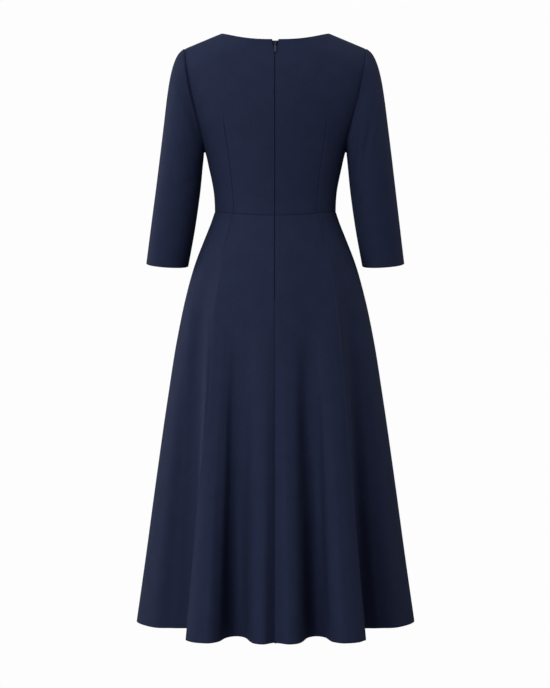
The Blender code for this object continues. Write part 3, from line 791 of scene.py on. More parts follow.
# %% Soft creases of the bodice, each from one place to another in x and z
BACK_CREASES = named_rows(
    "from_x from_z to_x to_z bow half_width height",
    (-142, -214, -104, -176, 5, 9, -0.7),
    (-139, -236, -110, -216, -3, 8, 0.6),
    (144, -210, 108, -166, -6, 10, -0.8),
    (137, -240, 112, -224, 3, 7, 0.5),
    (-128, -334, -96, -322, 3, 7, 0.4),
    (126, -338, 98, -328, -3, 6, 0.4),
    (-60, -60, 60, -66, -6, 16, 0.5),
)
FRONT_CREASES = named_rows(
    "from_x from_z to_x to_z bow half_width height",
    (-142, -212, -108, -184, 5, 9, -0.8),
    (143, -208, 106, -186, -5, 10, -0.7),
    (-52, -92, 58, -98, -8, 18, 0.6),
    (-126, -330, -94, -320, 3, 8, 0.4),
    (125, -336, 92, -322, -3, 7, 0.4),
)


# %% Back panels
BARE = -0.02  # where a seam's relief is below this, the panel's creases leave it alone
points, out, depth, thickness, from_middle = bodice_grid("back")
for side, place, directions in both_sides(points, out):
    place[..., 0] += slit_shift(side, place[..., 2], from_middle)
    relief = depth + crease_height(place[..., 0], place[..., 2], BACK_CREASES) * (depth > BARE)
    panel = shell_object(f"back_panel_{side}", place, directions, relief, thickness, crepe)
    hang(panel, f"bodice_back_{side}")

# %% Front panel
points, out, depth, thickness, _ = bodice_grid("front")
place = both_halves(points, mirrored(points))
directions = both_halves(out, mirrored(out))
depth = both_halves(depth, depth)
thickness = both_halves(thickness, thickness)
relief = depth + crease_height(place[..., 0], place[..., 2], FRONT_CREASES) * (depth > BARE)
panel = shell_object("front_panel", place, directions, relief, thickness, crepe)
hang(panel, "bodice_front")

# %% [markdown]
# ## The sleeves
# A set-in sleeve is one piece, sewn into a tube along the underarm and eased into the armhole, so its
# head stands a little proud beside the seam, and its cloth swells behind and in front where it is
# fullest. It bends softly at the elbow. The grid starts and ends at the underarm seam, and its rows
# keep an even distance down the cloth, not down the table.

# %% Sizes of a sleeve
SLEEVE_SPACING = 3.2
SLEEVE_ROUND = 310.0  # nominal length once round
EASE = 0.9  # how far the eased head stands proud
EASE_FROM_SEAM, EASE_REACH, EASE_START = 5.0, 4.0, 2.8
EASE_LOW = 0.35  # how far the ease runs on below the middle of the armhole
HEAD_BLEND = 3.0  # this near to the armhole the cloth faces as the bodice does
SINK = 0.5  # how far the sleeve lies below the bodice where they meet
SINK_LOW = 6.0  # and how much more where the armhole folds in
SINK_WIDTH = 7.0
FULLNESS = 4.5  # the sleeve swells beside the armhole, behind and in front
FULLNESS_START, FULLNESS_REACH = 2.0, 15.0


# %% Rows and columns of a sleeve
def sleeve_grid():
    """The right sleeve in rows from the cuff up: outer points, outward directions, seam relief, ease,
    distances from the armhole and from the cuff, and the turn of each column."""
    round_mm = between_seams(SLEEVE_ROUND, SLEEVE_SPACING)
    turn = round_mm / SLEEVE_ROUND * 2 * math.pi
    fine = np.linspace(0, len(SLEEVE["inner_x"]) - 1, 361)
    path = sleeve_point(fine[:, None] + 0 * turn, turn + 0 * fine[:, None])
    length = travelled(path, axis=0)
    count = round((length[-1].mean() - CUFF_HEM) / SLEEVE_SPACING)
    even = np.linspace(0, 1, count + 1)[1:-1, None]
    first = SEAM_STEPS[:, None] + 0 * turn
    middle = first[-1] + even * (length[-1] - CUFF_HEM - first[-1])
    last = length[-1] - hem_rows(CUFF_HEM)[:, None]
    wanted = np.concatenate([first, middle, last])
    station = np.stack([np.interp(wanted[:, i], length[:, i], fine) for i in range(len(turn))], axis=1)
    place = sleeve_point(station, turn + 0 * station)[::-1]
    own = outward(lambda t, s: sleeve_point(-s, t), turn + 0 * station, -np.maximum(station, 2e-3))[::-1]
    wanted = wanted[::-1]
    from_cuff = length[-1] - wanted
    blend = np.exp(-((wanted / HEAD_BLEND) ** 2))[..., None]
    directions = unit(blend * armhole_point(turn)[1] + (1 - blend) * own)
    from_seam = np.minimum(round_mm, SLEEVE_ROUND - round_mm) + 0 * wanted
    head = np.clip(-np.cos(turn) + EASE_LOW, 0, 1)
    ease = EASE * head * np.exp(-(((wanted - EASE_FROM_SEAM) / EASE_REACH) ** 2))
    ease = ease * np.clip(wanted / EASE_START, 0, 1)
    grooves = [
        seam_depth(from_seam, SEAM),
        seam_depth(wanted, SLEEVE_HEAD_EDGE),
        seam_depth(from_cuff, HEM),
    ]
    return place, directions, -np.maximum.reduce(grooves), ease, wanted, from_cuff, turn


def beside_armhole(wanted, turn):
    """The sleeve swells beside the armhole and dips into its seam, deepest where arm and back meet."""
    low = low_armhole(np.degrees(np.minimum(turn, 2 * math.pi - turn)))
    swell = FULLNESS * np.abs(np.sin(turn)) * np.exp(-wanted / FULLNESS_REACH)
    swell = swell * (1 - np.exp(-wanted / FULLNESS_START))
    return swell - (SINK + SINK_LOW * low) * np.clip(1 - wanted / SINK_WIDTH, 0, 1) ** 2


# %% Soft creases of the sleeves, in nominal millimetres round from the underarm seam, and z
ROUND_MM_PER_DEG = SLEEVE_ROUND / 360
SLEEVE_CREASES = {
    "right": named_rows(
        "from_u from_z to_u to_z bow half_width height",
        (106, -112, 42, -318, 0, 6.5, -3.0),
        (82, -118, 34, -306, 0, 7, 1.8),
        (155, 10, 155, -450, 0, 42, 2.2),
        (20, -262, 70, -292, 4, 8, -1.0),
        (16, -292, 64, -312, 3, 7, 0.8),
        (250, -270, 300, -296, 4, 10, -1.2),
        (244, -296, 296, -322, -3, 8, 0.8),
        (150, -372, 206, -392, 3, 10, 0.5),
    ),
    "left": named_rows(
        "from_u from_z to_u to_z bow half_width height",
        (36, -250, 92, -214, 6, 14, -1.6),
        (22, -276, 84, -306, -4, 9, -1.0),
        (40, -330, 96, -350, 3, 9, 0.6),
        (248, -262, 300, -292, 4, 11, -1.3),
        (252, -300, 296, -318, -3, 8, 0.9),
    ),
}

# %% Both sleeves
points, out, depth, ease, wanted, from_cuff, turn = sleeve_grid()
thickness = hemmed(from_cuff, CUFF_HEM)
for side, place, directions in both_sides(points, out):
    u = np.degrees(turn) * ROUND_MM_PER_DEG + 0 * depth
    soft = crease_height(u, place[..., 2], SLEEVE_CREASES[side]) * np.clip(wanted / CREASE_CLEAR, 0, 1)
    soft = soft + beside_armhole(wanted, turn)
    sleeve = shell_object(f"sleeve_shell_{side}", place, directions, depth + ease + soft, thickness, crepe)
    hang(sleeve, f"sleeve_{side}")

# %% [markdown]
# ## The skirt
# The skirt flares from gores: pieces wider at the hem than at the waist, so the spare cloth falls in
# deep soft folds. The grid's columns run down the cloth and are crowded beside each seam. Pressed-open
# seam allowances lie inside, and lift the cloth beside the seam a little. Below the hips each back gore
# seam turns from a groove into the sharp ridge of a fold, with the side gore tucked in beside it. At the
# centre back the left half is drawn in and laps under the right.

# %% Rows and columns of a gore
SKIRT_SPACING = 6.0
COLUMNS_PER_FOLD = 9
ALLOWANCE_WIDTH = 11.0
ALLOWANCE_LIFT = 0.35
ALLOWANCE_START, ALLOWANCE_END = 2.5, 4.0  # over how much of its width the lift comes and goes
FOLD_NUMBER = {name: i for i, name in enumerate(FOLDS["name"])}
GORE_SEAM = FOLD_NUMBER["gore seam"]
SIDE_SEAM = FOLD_NUMBER["side seam"]
WHOLE_ROUND = 2 * len(FOLDS["name"]) - 2
SWAY = 0.3  # the left gore seam sways towards the middle, in fold numbers
SWAY_SHARES = (0.20, 0.68)
GORES = {
    "skirt_centre_back_right": (0, GORE_SEAM),
    "skirt_side_back_right": (GORE_SEAM, SIDE_SEAM),
    "skirt_front": (SIDE_SEAM, WHOLE_ROUND - SIDE_SEAM),
    "skirt_side_back_left": (WHOLE_ROUND - SIDE_SEAM, WHOLE_ROUND - GORE_SEAM),
    "skirt_centre_back_left": (WHOLE_ROUND - GORE_SEAM, WHOLE_ROUND),
}


def skirt_drops():
    """Distances down from the waist seam: crowded at the seam, at the hem's inner edge and at the hem."""
    length = WAIST_Z - HEM_Z
    inner_edge = length - SKIRT_HEM
    even = np.linspace(SEAM_STEPS[-1], inner_edge - 2, round(inner_edge / SKIRT_SPACING))[1:]
    return np.concatenate([SEAM_STEPS, even, length - hem_rows(SKIRT_HEM)])


def seam_turn(fold, shares):
    """The fold number that a seam follows down the skirt."""
    part = np.clip((shares - SWAY_SHARES[0]) / (SWAY_SHARES[1] - SWAY_SHARES[0]), 0, 1)
    return fold + (SWAY * np.sin(math.pi * part) ** 2 if fold == WHOLE_ROUND - GORE_SEAM else 0 * part)


def gore_turns(first, last, shares):
    """The fold numbers of a gore's columns at each row: at fixed distances beside its seams, else even."""
    step = 1e-3
    ends = seam_turn(first, shares), seam_turn(last, shares)
    speeds = [
        np.linalg.norm(skirt_point(end + way * step, shares) - skirt_point(end, shares), axis=-1) / step
        for end, way in zip(ends, (1, -1))
    ]
    left = ends[0][:, None] + SEAM_STEPS / speeds[0][:, None]
    right = ends[1][:, None] - SEAM_STEPS[::-1] / speeds[1][:, None]
    even = np.linspace(0, 1, COLUMNS_PER_FOLD * (last - first) + 1)[1:-1]
    middle = left[:, -1:] + even * (right[:, :1] - left[:, -1:])
    return np.concatenate([left, middle, right], axis=1)


# %% The cloth beside a gore's seams
# Below the hips each back gore seam stands out as a sharp ridge. For the cloth on the left and on the
# right of it, seen from behind: the ridge's reach, then depth and reach of the trough beside it.
RIDGE = 3.2
RIDGE_LEFT = {"left": (1.7, 2.5, 12.0), "right": (9.0, 0.0, 1.0)}
RIDGE_RIGHT = {"left": (1.5, 0.0, 1.0), "right": (6.0, 2.0, 20.0)}
RIDGE_FROM_Z, RIDGE_WHOLE_Z = -410.0, -570.0
# Beside its ridge the side gore is tucked in behind the middle, by these depths.
TUCK = named_rows(
    "height left right",
    (-1194, 0, 0),
    (-1060, 2, 1),
    (-960, 6, 2),
    (-860, 13, 4),
    (-760, 17, 5),
    (-680, 16, 5),
    (-600, 9, 3),
    (-540, 0, 0),
)
TUCK_START, TUCK_REACH = 1.5, 19.0
CENTRE_DRAW = 3.0  # below the zip the left half is drawn in and laps under the right
CENTRE_REACH = 8.0
CENTRE_FROM_Z, CENTRE_WHOLE_Z = -540.0, -800.0


def beside_seam(fold, z, distance, to_right):
    """The height of the cloth beside one seam: its groove, and below the hips what the folds add.
    to_right says that the cloth lies to the right of the seam, seen from behind."""
    if fold in (GORE_SEAM, WHOLE_ROUND - GORE_SEAM):
        form = RIDGE_RIGHT if fold == GORE_SEAM else RIDGE_LEFT
        reach, trough, trough_reach = form["right" if to_right else "left"]
        folded = np.clip((RIDGE_FROM_Z - z) / (RIDGE_FROM_Z - RIDGE_WHOLE_Z), 0, 1)
        ridge = (RIDGE + trough) * np.exp(-distance / reach) - trough * np.exp(-distance / trough_reach)
        return ridge * folded - (1 - folded) * seam_depth(distance, GORE_GROOVE)
    if fold in (0, WHOLE_ROUND):
        drawn = 0 * z if to_right else CENTRE_DRAW * centre_share(z) * np.exp(-distance / CENTRE_REACH)
        groove = np.where(z > ZIP_FOOT_Z, seam_depth(distance, SLIT), seam_depth(distance, GORE_GROOVE))
        return -drawn - groove
    return -seam_depth(distance, SEAM)


def centre_share(z):
    """How far the centre back seam has come into its full depth."""
    return np.clip((CENTRE_FROM_Z - z) / (CENTRE_FROM_Z - CENTRE_WHOLE_Z), 0, 1)


def tuck_in(place, side, distance):
    """Moves a side gore's points forward beside its ridge, by the depths in TUCK."""
    part = np.exp(-((distance / TUCK_REACH) ** 2)) * (1 - np.exp(-distance / TUCK_START))
    place[..., 1] += read_table(TUCK, side, place[..., 2]) * part


# %% The grid of a gore
def gore_grid(first, last):
    """A gore in rows from the hem up: outer points, outward directions, seam relief, distance to the
    nearer seam, drop, and the thickness of the allowance that stands inside at the centre seam."""
    drops = skirt_drops()[::-1]
    shares = drops / (WAIST_Z - HEM_Z)
    turns = gore_turns(first, last, shares)
    share = shares[:, None] + 0 * turns
    place = skirt_point(turns, share)
    directions = outward(lambda t, s: skirt_point(t, -s), turns, -share)
    from_first = travelled(place, axis=1)
    from_last = from_first[:, -1:] - from_first
    z = place[..., 2]
    if first == GORE_SEAM:
        tuck_in(place, "right", from_first)
    if last == WHOLE_ROUND - GORE_SEAM:
        tuck_in(place, "left", from_last)
    across = beside_seam(first, z, from_first, True) + beside_seam(last, z, from_last, False)
    at_waist = seam_depth(drops, GORE_GROOVE)[:, None] + 0 * share
    relief = np.where(at_waist > 0, np.minimum(across, -at_waist), across)
    relief = relief - seam_depth(drops[0] - drops, HEM)[:, None]
    allowance = 0 * z
    if first == 0:
        place[..., 0] += slit_shift("right", z, from_first)
        allowance = CENTRE_DRAW * centre_share(z) * np.exp(-((from_first / ALLOWANCE_FOLD) ** 2))
    if last == WHOLE_ROUND:
        place[..., 0] += slit_shift("left", z, from_last)
    from_seam = np.minimum(from_first, from_last)
    return place, directions, relief, from_seam, drops[:, None] + 0 * share, allowance


# %% Soft creases of the skirt's back and front, in x and z
SKIRT_BACK_CREASES = named_rows(
    "from_x from_z to_x to_z bow half_width height",
    (-170, -470, -196, -840, 6, 9, 2.6),
    (-152, -480, -166, -700, 3, 13, -1.4),
    (176, -520, 214, -880, -6, 12, 1.8),
    (-96, -380, -88, -520, 3, 12, -0.8),
    (104, -372, 92, -500, -3, 12, -0.7),
    (65, -500, 62, -980, 0, 14, -5.5),
    (-88, -560, -86, -900, 0, 15, -3.0),
    (-160, -520, -206, -1290, 0, 26, -6.0),
    (-106, -600, -112, -1270, 0, 16, -3.5),
    (-60, -600, -71, -1260, 0, 9, -0.9),
    (-45, -600, -55, -1260, 0, 9, 0.9),
    (76, -600, 92, -1260, 0, 9, -1.0),
    (92, -600, 108, -1260, 0, 9, 1.0),
)
SKIRT_FRONT_CREASES = named_rows(
    "from_x from_z to_x to_z bow half_width height",
    (-176, -500, -204, -860, 6, 11, 2.0),
    (168, -460, 200, -800, -5, 10, 2.2),
    (-40, -640, -30, -1060, 4, 18, -1.2),
    (52, -700, 46, -1120, -4, 15, -1.0),
    (-84, -376, -74, -500, 2, 12, -0.7),
    (90, -380, 80, -520, -3, 13, -0.8),
)

# %% The five gores
for node, (first, last) in GORES.items():
    place, directions, depth, from_seam, drop, allowance = gore_grid(first, last)
    thickness = hemmed(WAIST_Z - HEM_Z - drop, SKIRT_HEM) + allowance
    creases = SKIRT_FRONT_CREASES if node == "skirt_front" else SKIRT_BACK_CREASES
    soft = crease_height(place[..., 0], place[..., 2], creases) * np.clip(from_seam / CREASE_CLEAR, 0, 1)
    lift = ALLOWANCE_LIFT * np.clip((ALLOWANCE_WIDTH - from_seam) / ALLOWANCE_END, 0, 1)
    lift = lift * np.clip(from_seam / ALLOWANCE_START, 0, 1)
    gore = shell_object(f"{node}_gore", place, directions, depth + soft + lift, thickness, crepe)
    hang(gore, node)

# %% [markdown]
# ## The zip
# An invisible zip is sewn behind the centre back, so only its slider and pull show, with a little of
# the teeth in the V above them. Each tape is a woven ribbon with a nylon coil along its inner edge.
# It could be cut from a flat strip, but its curve is the body's, so it is worked out from the same
# sections as the back, a little behind them.

# %% The tapes
ZIP_TAPE_WIDTH = 10.0
ZIP_TAPE_THICKNESS = 0.7
ZIP_TAPE_BEHIND = 0.8
ZIP_TAPE_FROM_SLIT = 0.25
ZIP_TAPE_ROWS, ZIP_TAPE_COLUMNS = 220, 9
V_FILL = 2.2  # how far the tapes show inside the V
V_FILL_FROM, V_FILL_WHOLE = 1.0, 4.0  # half widths of the V between which that comes in
ZIP_TAPE_BELOW_NECK = 3.0
WALL = 1.5  # the CAD wall, behind which the tapes lie
BACK_RADIUS = 130.0  # of the body's curve across centre back


def back_profile_y(z):
    """Depth of the cloth's outer face on the centre back line."""
    waist = WAIST_Z - WAIST_DIP_BACK
    below = np.clip((waist - z) / (waist - HEM_Z), 0, 1)
    skirt = -read_table(SKIRT, "back", below * (WAIST_Z - HEM_Z))
    return np.where(below > 0, skirt, -read_table(TORSO, "back", z))


def tape_edge(z):
    """How far from the middle a tape's inner edge lies: closed, and in the V a little inside its edge."""
    slit = read_table(ZIP_NOTCH, "half_width", z)
    return slit - V_FILL * np.clip((slit - V_FILL_FROM) / (V_FILL_WHOLE - V_FILL_FROM), 0, 1)


tape_top = float(ridge_z(NECK_HALF_WIDTH)) - NECK_DROP["back"] - ZIP_TAPE_BELOW_NECK
tape_z = np.linspace(ZIP_FOOT_Z, tape_top, ZIP_TAPE_ROWS)[:, None]
from_edge = ZIP_TAPE_WIDTH * np.linspace(0, 1, ZIP_TAPE_COLUMNS)
across = tape_edge(tape_z) + ZIP_TAPE_FROM_SLIT + from_edge
tape_y = back_profile_y(tape_z) + WALL + ZIP_TAPE_BEHIND + across**2 / (2 * BACK_RADIUS)
right_tape = np.stack([across, tape_y, tape_z + 0 * across], axis=-1)
thickness = ZIP_TAPE_THICKNESS + 0 * across
for side, place, back_out in both_sides(right_tape, np.array([0.0, -1.0, 0.0]) + 0 * right_tape):
    tape = shell_object(f"tape_{side}", place, back_out, 0 * across, thickness, tape_weave)
    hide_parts(f"zip_tape_{side}")
    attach(tape, "dress")

# %% [markdown]
# ## The teeth
# A coil zip's teeth are the turns of one nylon thread. Each turn is a short bent bar that reaches
# across the slit and ends in a rounded head, left and right in turn. One bar is swept once, and the
# rest are the same bar moved down the tapes.

# %% Bars of the coil
TOOTH_PITCH = 1.3
TOOTH_THICK = 0.75
TOOTH_REACH = 3.4
TOOTH_SIDES = 6
TOOTH_LAP = 0.9  # how far the closed teeth reach past the middle
TOOTH_OPEN = 0.6  # how far the open ones in the V stand out from the tape's edge
TEETH_ABOVE_FOOT, TEETH_BELOW_TOP = 3.0, 1.0
TOOTH = named_rows("along size", (0.0, 0.25), (0.06, 0.8), (0.2, 1.0), (0.8, 1.0), (0.94, 1.15), (1.0, 0.4))
SLIDER_Z = -15.0
SLIDER_BELOW = 6.0  # the slider has closed the teeth from here down


def tooth_points(root, tip):
    """A rounded bar from root to tip: rings round the bar, tapering at both ends."""
    size = TOOTH["size"] * TOOTH_THICK / 2
    turn = np.linspace(0, 2 * math.pi, TOOTH_SIDES, endpoint=False)
    centre = root + TOOTH["along"][:, None] * (tip - root)
    ring = np.stack([0 * turn, np.cos(turn), np.sin(turn)], axis=-1)
    return (centre[:, None] + size[:, None, None] * ring).reshape(-1, 3)


def tube_quads(rings, sides):
    """Faces between the rings of a tube, whose points are counted ring by ring."""
    quads = []
    for low in range(0, (rings - 1) * sides, sides):
        for i in range(sides):
            j = (i + 1) % sides
            quads.append([low + i, low + j, low + sides + j, low + sides + i])
    return quads


def tooth_quads():
    """Faces between the rings of one bar, and two at each end."""
    rings = len(TOOTH["along"])
    top = (rings - 1) * TOOTH_SIDES
    ends = [[3, 2, 1, 0], [5, 4, 3, 0], [top, top + 1, top + 2, top + 3], [top, top + 3, top + 4, top + 5]]
    return np.array(tube_quads(rings, TOOTH_SIDES) + ends)


for side, sign in (("right", 1.0), ("left", -1.0)):
    bars = []
    heights = np.arange(ZIP_FOOT_Z + TEETH_ABOVE_FOOT, tape_top - TEETH_BELOW_TOP, TOOTH_PITCH)
    for z in heights + (TOOTH_PITCH / 2 if side == "right" else 0):
        tape_back = float(back_profile_y(np.array(z))) + WALL + ZIP_TAPE_BEHIND + ZIP_TAPE_THICKNESS
        y = tape_back + TOOTH_THICK / 2
        open_tip = float(tape_edge(np.array(z))) - TOOTH_OPEN
        over = -TOOTH_LAP if z < SLIDER_Z - SLIDER_BELOW else open_tip
        root = np.array([sign * (over + TOOTH_REACH), y, z])
        bars.append(tooth_points(root, np.array([sign * over, y, z])))
    points = np.concatenate(bars)
    quads = np.concatenate([tooth_quads() + i * len(bars[0]) for i in range(len(bars))])
    coil = mesh_object(f"coil_{side}", points, quads, points[:, [0, 2]] * MM, nylon)
    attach(coil, "dress")
    print(f"{coil.name}: {len(bars)} teeth")

# %% [markdown]
# ## Slider and pull
# The slider is a small zinc casting: a tapered body that carries the teeth, with a bridge on its face
# that the pull's eye hangs from. The body has soft cast edges, made as a stack of outlines, each a
# little smaller than the last towards its faces. The bridge is a bar bent along a path, and the pull is
# a filled curve with a hole, whose bevel rounds its edges.

# %% Castings from stacked outlines
def slider_frame():
    """The slider's place and slope, in metres: its own up direction follows the cloth at centre back."""
    step = 5.0
    low, high = back_profile_y(np.array([SLIDER_Z - step, SLIDER_Z + step]))
    place = Matrix.Translation((0, float(back_profile_y(np.array(SLIDER_Z))) * MM, SLIDER_Z * MM))
    return place @ Matrix.Rotation(-math.atan((high - low) / (2 * step)), 4, "X")


def rounded_outline(corners, radii, steps=5):
    """A closed outline with each corner turned into an arc."""
    corners = np.array(corners, float)
    outline = []
    for i, radius in enumerate(radii):
        before, corner, after = corners[i - 1], corners[i], corners[(i + 1) % len(corners)]
        a, b = unit(before - corner), unit(after - corner)
        half = math.acos(float(np.clip(a @ b, -1, 1))) / 2
        start, end = corner + a * radius / math.tan(half), corner + b * radius / math.tan(half)
        centre = corner + unit(a + b) * radius / math.sin(half)
        for t in np.linspace(0, 1, steps):
            outline.append(centre + unit(start - centre + t * (end - start)) * radius)
    return np.array(outline)


def shrunk(outline, inset):
    """An outline moved in by inset, along its own normals."""
    along = unit(np.roll(outline, -1, axis=0) - np.roll(outline, 1, axis=0))
    return outline + np.stack([-along[:, 1], along[:, 0]], axis=-1) * inset


def casting(name, outline, layers, material, place):
    """A solid from an outline in (across, up), through layers of (inset, out)."""
    bm = bmesh.new()
    rings = []
    for inset, out_mm in layers:
        ring = shrunk(outline, inset)
        rings.append([bm.verts.new((p[0] * MM, -out_mm * MM, p[1] * MM)) for p in ring])
    for low, high in zip(rings, rings[1:]):
        for i in range(len(low)):
            j = (i + 1) % len(low)
            bm.faces.new((low[i], low[j], high[j], high[i]))
    bm.faces.new(rings[0][::-1])
    bm.faces.new(rings[-1])
    bmesh.ops.recalc_face_normals(bm, faces=bm.faces)
    mesh = bpy.data.meshes.new(name)
    bm.to_mesh(mesh)
    bm.free()
    made = finished_object(name, mesh, material, sharp_deg=50)
    mesh.transform(place)
    return made


# %% The slider
SLIDER_OUTLINE = ((5.2, 4.9), (4.2, 0.0), (2.7, -4.9))  # half widths and heights, from the top
SLIDER_RADII = (1.2, 4.0, 1.4)
# Layers as (inset, height above the cloth), from the back of the slider to its face.
SLIDER_LAYERS = ((0.7, -2.6), (0.2, -2.4), (0.0, -2.0), (0.0, 0.0), (0.2, 0.25), (0.7, 0.4), (1.6, 0.45))
place = slider_frame()
left = [(-w, h) for w, h in SLIDER_OUTLINE]
body_outline = rounded_outline(left + list(SLIDER_OUTLINE[::-1]), SLIDER_RADII + SLIDER_RADII[::-1])
slider = casting("slider_body", body_outline, SLIDER_LAYERS, lacquer, place)
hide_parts("zip_slider")
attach(slider, "dress")
print("slider's faces:", len(slider.data.polygons))

# %% Its bridge, a bent bar
BRIDGE_HALF_WIDTH, BRIDGE_HALF_THICKNESS = 0.8, 0.4
BRIDGE = named_rows(
    "height up",
    (0.2, -4.3),
    (1.4, -4.9),
    (2.5, -4.75),
    (2.8, -4.1),
    (2.8, -1.0),
    (2.8, 1.8),
    (2.5, 2.45),
    (1.4, 2.6),
    (0.2, 2.6),
)
bridge_path = np.stack([BRIDGE["height"], BRIDGE["up"]], axis=-1)
along = unit(np.gradient(bridge_path, axis=0))
side_way = np.stack([along[:, 1], -along[:, 0]], axis=-1)
turn = np.linspace(0, 2 * math.pi, 12, endpoint=False)
cross = np.stack([BRIDGE_HALF_WIDTH * np.cos(turn), BRIDGE_HALF_THICKNESS * np.sin(turn)], axis=-1)
rings = []
for centre, side in zip(bridge_path, side_way):
    out_up = centre + cross[:, 1:2] * side
    rings.append(np.stack([cross[:, 0], -out_up[:, 0], out_up[:, 1]], axis=-1))
points = np.concatenate(rings)
quads = np.array(tube_quads(len(rings), len(turn)))
# The bridge is in the greyer lacquer, a painted highlight.
bridge = mesh_object("slider_bridge", points, quads, points[:, [0, 2]] * MM, painted_highlight_lacquer)
bridge.data.transform(place)
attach(bridge, "dress")
print("bridge's height above the cloth:", BRIDGE["height"].max(), "mm")

# %% The pull, with its eye
PULL_AXIS_OUT = 1.5
PULL_AXIS_UP = -3.0
PULL_LENGTH = 21.0
PULL_HALF_WIDTH = 3.2
PULL_NECK_HALF_WIDTH = 2.3
PULL_NECK_FOOT = -5.4  # where the neck goes over into the tab
PULL_CORNER = 0.6
PULL_TAPER = 0.1
PULL_THICKNESS = 1.0
PULL_BEVEL = 0.3
PULL_EYE_HALF_WIDTH = 1.3
PULL_EYE_LENGTH = 2.9
PULL_REST_DEG = -2.2
axis = Matrix.Translation((0, -PULL_AXIS_OUT * MM, PULL_AXIS_UP * MM))
pull_place = slider_frame() @ axis @ Matrix.Rotation(math.radians(PULL_REST_DEG), 4, "X")
top = PULL_THICKNESS / 2
centre = PULL_HALF_WIDTH - PULL_LENGTH  # of the tab's round end
tip_turns = np.linspace(math.pi, 0, 25)
tip = [(PULL_HALF_WIDTH * math.cos(a), centre - PULL_HALF_WIDTH * math.sin(a)) for a in tip_turns]
half_neck = [
    (PULL_NECK_HALF_WIDTH - PULL_CORNER, top),
    (PULL_NECK_HALF_WIDTH - PULL_TAPER, top - PULL_CORNER + PULL_TAPER),
    (PULL_NECK_HALF_WIDTH, PULL_NECK_FOOT),
]
left_top, left_side, left_foot = [(-x, up) for x, up in half_neck]
# In this order the outline crosses itself, which leaves a small notch on the left of the neck.
tab_outline = [left_side, left_top] + half_neck + [left_foot] + tip


def eye_pull(name, outline, eye, thickness, bevel, material):
    """A flat tab with a hole, filled between two outlines, with rounded edges."""
    curve = bpy.data.curves.new(name, "CURVE")
    curve.dimensions = "2D"
    curve.fill_mode = "BOTH"
    curve.extrude = (thickness / 2 - bevel) * MM
    curve.bevel_depth = bevel * MM
    curve.bevel_resolution = 2
    curve.offset = -bevel * MM
    for corners in (outline, eye):
        spline = curve.splines.new("POLY")
        spline.points.add(len(corners) - 1)
        for point, corner in zip(spline.points, corners):
            point.co = (corner[0] * MM, corner[1] * MM, 0.0, 1.0)
        spline.use_cyclic_u = True
    shape = add_object(name, curve)
    bpy.context.view_layer.update()
    mesh = bpy.data.meshes.new_from_object(shape)
    bpy.data.objects.remove(shape)
    mesh.transform(pull_place @ Matrix.Rotation(math.radians(90), 4, "X"))
    mesh.materials.clear()
    return finished_object(name, mesh, material, sharp_deg=40)


half = PULL_EYE_HALF_WIDTH
eye = [(-half, -top - PULL_EYE_LENGTH), (half, -top - PULL_EYE_LENGTH), (half, -top), (-half, -top)]
pull = eye_pull("pull_tab_shell", tab_outline, eye, PULL_THICKNESS, PULL_BEVEL, lacquer)
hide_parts("zip_pull")
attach(pull, "pull_tab")
print("pull's hinge in metres:", [round(x, 6) for x in (slider_frame() @ axis).translation])

# %% The raised rib on the pull's face
RIB_TOP, RIB_FOOT = -5.0, centre - 0.6
RIB_CORNERS = ((-1.5, RIB_TOP), (1.1, RIB_TOP), (1.4, RIB_FOOT), (-1.5, RIB_FOOT))
RIB_RADII = (0.6, 0.6, 1.2, 1.2)
RIB_LAYERS = ((0.0, 0.3), (0.0, 0.55), (0.15, 0.7), (0.45, 0.78))  # as for the slider
# The rib is in the greyer lacquer, a painted highlight along the pull's face.
rib = casting("pull_rib", rounded_outline(RIB_CORNERS, RIB_RADII), RIB_LAYERS, painted_highlight_lacquer, pull_place)
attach(rib, "pull_tab")
print("rib's length in millimetres:", round(RIB_TOP - RIB_FOOT, 1))

# %% [markdown]
# ## Floor, light and camera
# The dress is photographed against white and lit softly, a little more from the left. The world is
# the white studio itself: white to the camera, but it throws only a little light. The key is a large
# panel just left of the camera. Two more hang high at the sides and draw the folds, and two behind the
# dress light its outline. The floor lies where the wearer's feet would be. It is white to the camera
# alone, so that it throws no light up the skirt and shows no shadow, as in the photograph. The camera
# is level, with the centre of the picture at the height of the hips.

# %% The studio
FLOOR_Z = -1.45
FLOOR_REACH = 12.0
WHITE = "fdfdfd"
AMBIENT = 0.17  # what the white room itself adds, next to the panels


def camera_only(tree):
    """An output that is 1 where the eye looks straight at a surface, and 0 where light bounces to it."""
    return add_node(tree, "ShaderNodeLightPath", {}, {}).outputs["Is Camera Ray"]


floor_mesh = bpy.data.meshes.new("floor")
floor_corners = [(x * FLOOR_REACH, y * FLOOR_REACH, FLOOR_Z) for x, y in ((-1, -1), (1, -1), (1, 1), (-1, 1))]
floor_mesh.from_pydata(floor_corners, [], [(0, 1, 2, 3)])
floor = add_object("floor", floor_mesh)
paper, _, _ = new_material(
    "white studio paper",
    {
        "Base Color": linear("000000"),
        "Specular IOR Level": 0.0,
        "Emission Color": linear(WHITE),
        "Emission Strength": 1.0,
    },
)
floor_mesh.materials.append(paper)
floor.visible_diffuse = False
floor.visible_glossy = False
floor.visible_shadow = False

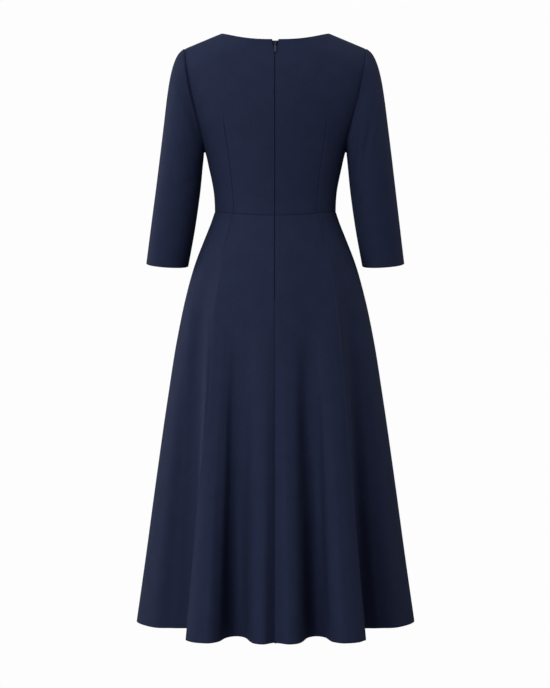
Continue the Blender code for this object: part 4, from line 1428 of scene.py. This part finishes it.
world = bpy.data.worlds.new("white studio")
bpy.context.scene.world = world
world.use_nodes = True
sky = world.node_tree.nodes["Background"]
strength = mapped(world.node_tree, camera_only(world.node_tree), {"To Min": AMBIENT})
feed(world.node_tree, sky, {"Color": linear(WHITE), "Strength": strength})


# %% The panels
PANEL_DISTANCE = 3.4
PANEL_AIM_Z = -0.6
PANEL_SIZE = 2.0
# Each panel's name, how far it stands round from the camera to the right and up in degrees, and watts.
PANELS = (
    ("key, left of the camera", -26, 10, 64.0),
    ("high at the left", -90, 50, 40.0),
    ("high at the right", 90, 50, 32.0),
    ("rim from the left", -118, 10, 32.0),
    ("rim from the right", 110, 10, 8.0),
)


def soft_panel(name, turn, rise, power):
    """A square soft panel on a sphere round the dress, facing it."""
    light = bpy.data.lights.new(name, "AREA")
    light.shape = "SQUARE"
    light.size = PANEL_SIZE
    light.energy = power
    made = add_object(name, light)
    angle, lift = math.radians(turn), math.radians(rise)
    way = (math.sin(angle) * math.cos(lift), -math.cos(angle) * math.cos(lift), math.sin(lift))
    made.location = [PANEL_DISTANCE * w for w in way]
    made.location.z += PANEL_AIM_Z
    made.rotation_euler = (math.pi / 2 - lift, 0.0, angle)


for panel in PANELS:
    soft_panel(*panel)
print("panels:", len(PANELS), "with watts in all:", sum(power for *_, power in PANELS))

# %% The camera
CAMERA_DISTANCE = 3.5
CAMERA_HEIGHT = -0.6221
MM_PER_PIXEL = 2.06  # in the plane through the shoulder seams
PHOTO_HEIGHT = 688
CENTRE_SHIFT = -0.3 * MM_PER_PIXEL * MM  # the dress stands 0.3 pixels right of the picture's centre
SENSOR = 36.0  # millimetres that the picture's longer side, its height, takes up in the camera
camera_data = bpy.data.cameras.new("camera")
camera_data.sensor_width = SENSOR
camera_data.lens = SENSOR * CAMERA_DISTANCE / (PHOTO_HEIGHT * MM_PER_PIXEL * MM)
camera_data.clip_end = 100.0
camera = add_object("camera", camera_data)
camera.location = (CENTRE_SHIFT, -CAMERA_DISTANCE, CAMERA_HEIGHT)
camera.rotation_euler = (math.radians(90), 0.0, 0.0)
bpy.context.scene.camera = camera
bpy.context.scene.view_settings.view_transform = "Standard"
print("lens in millimetres:", round(camera_data.lens, 1))
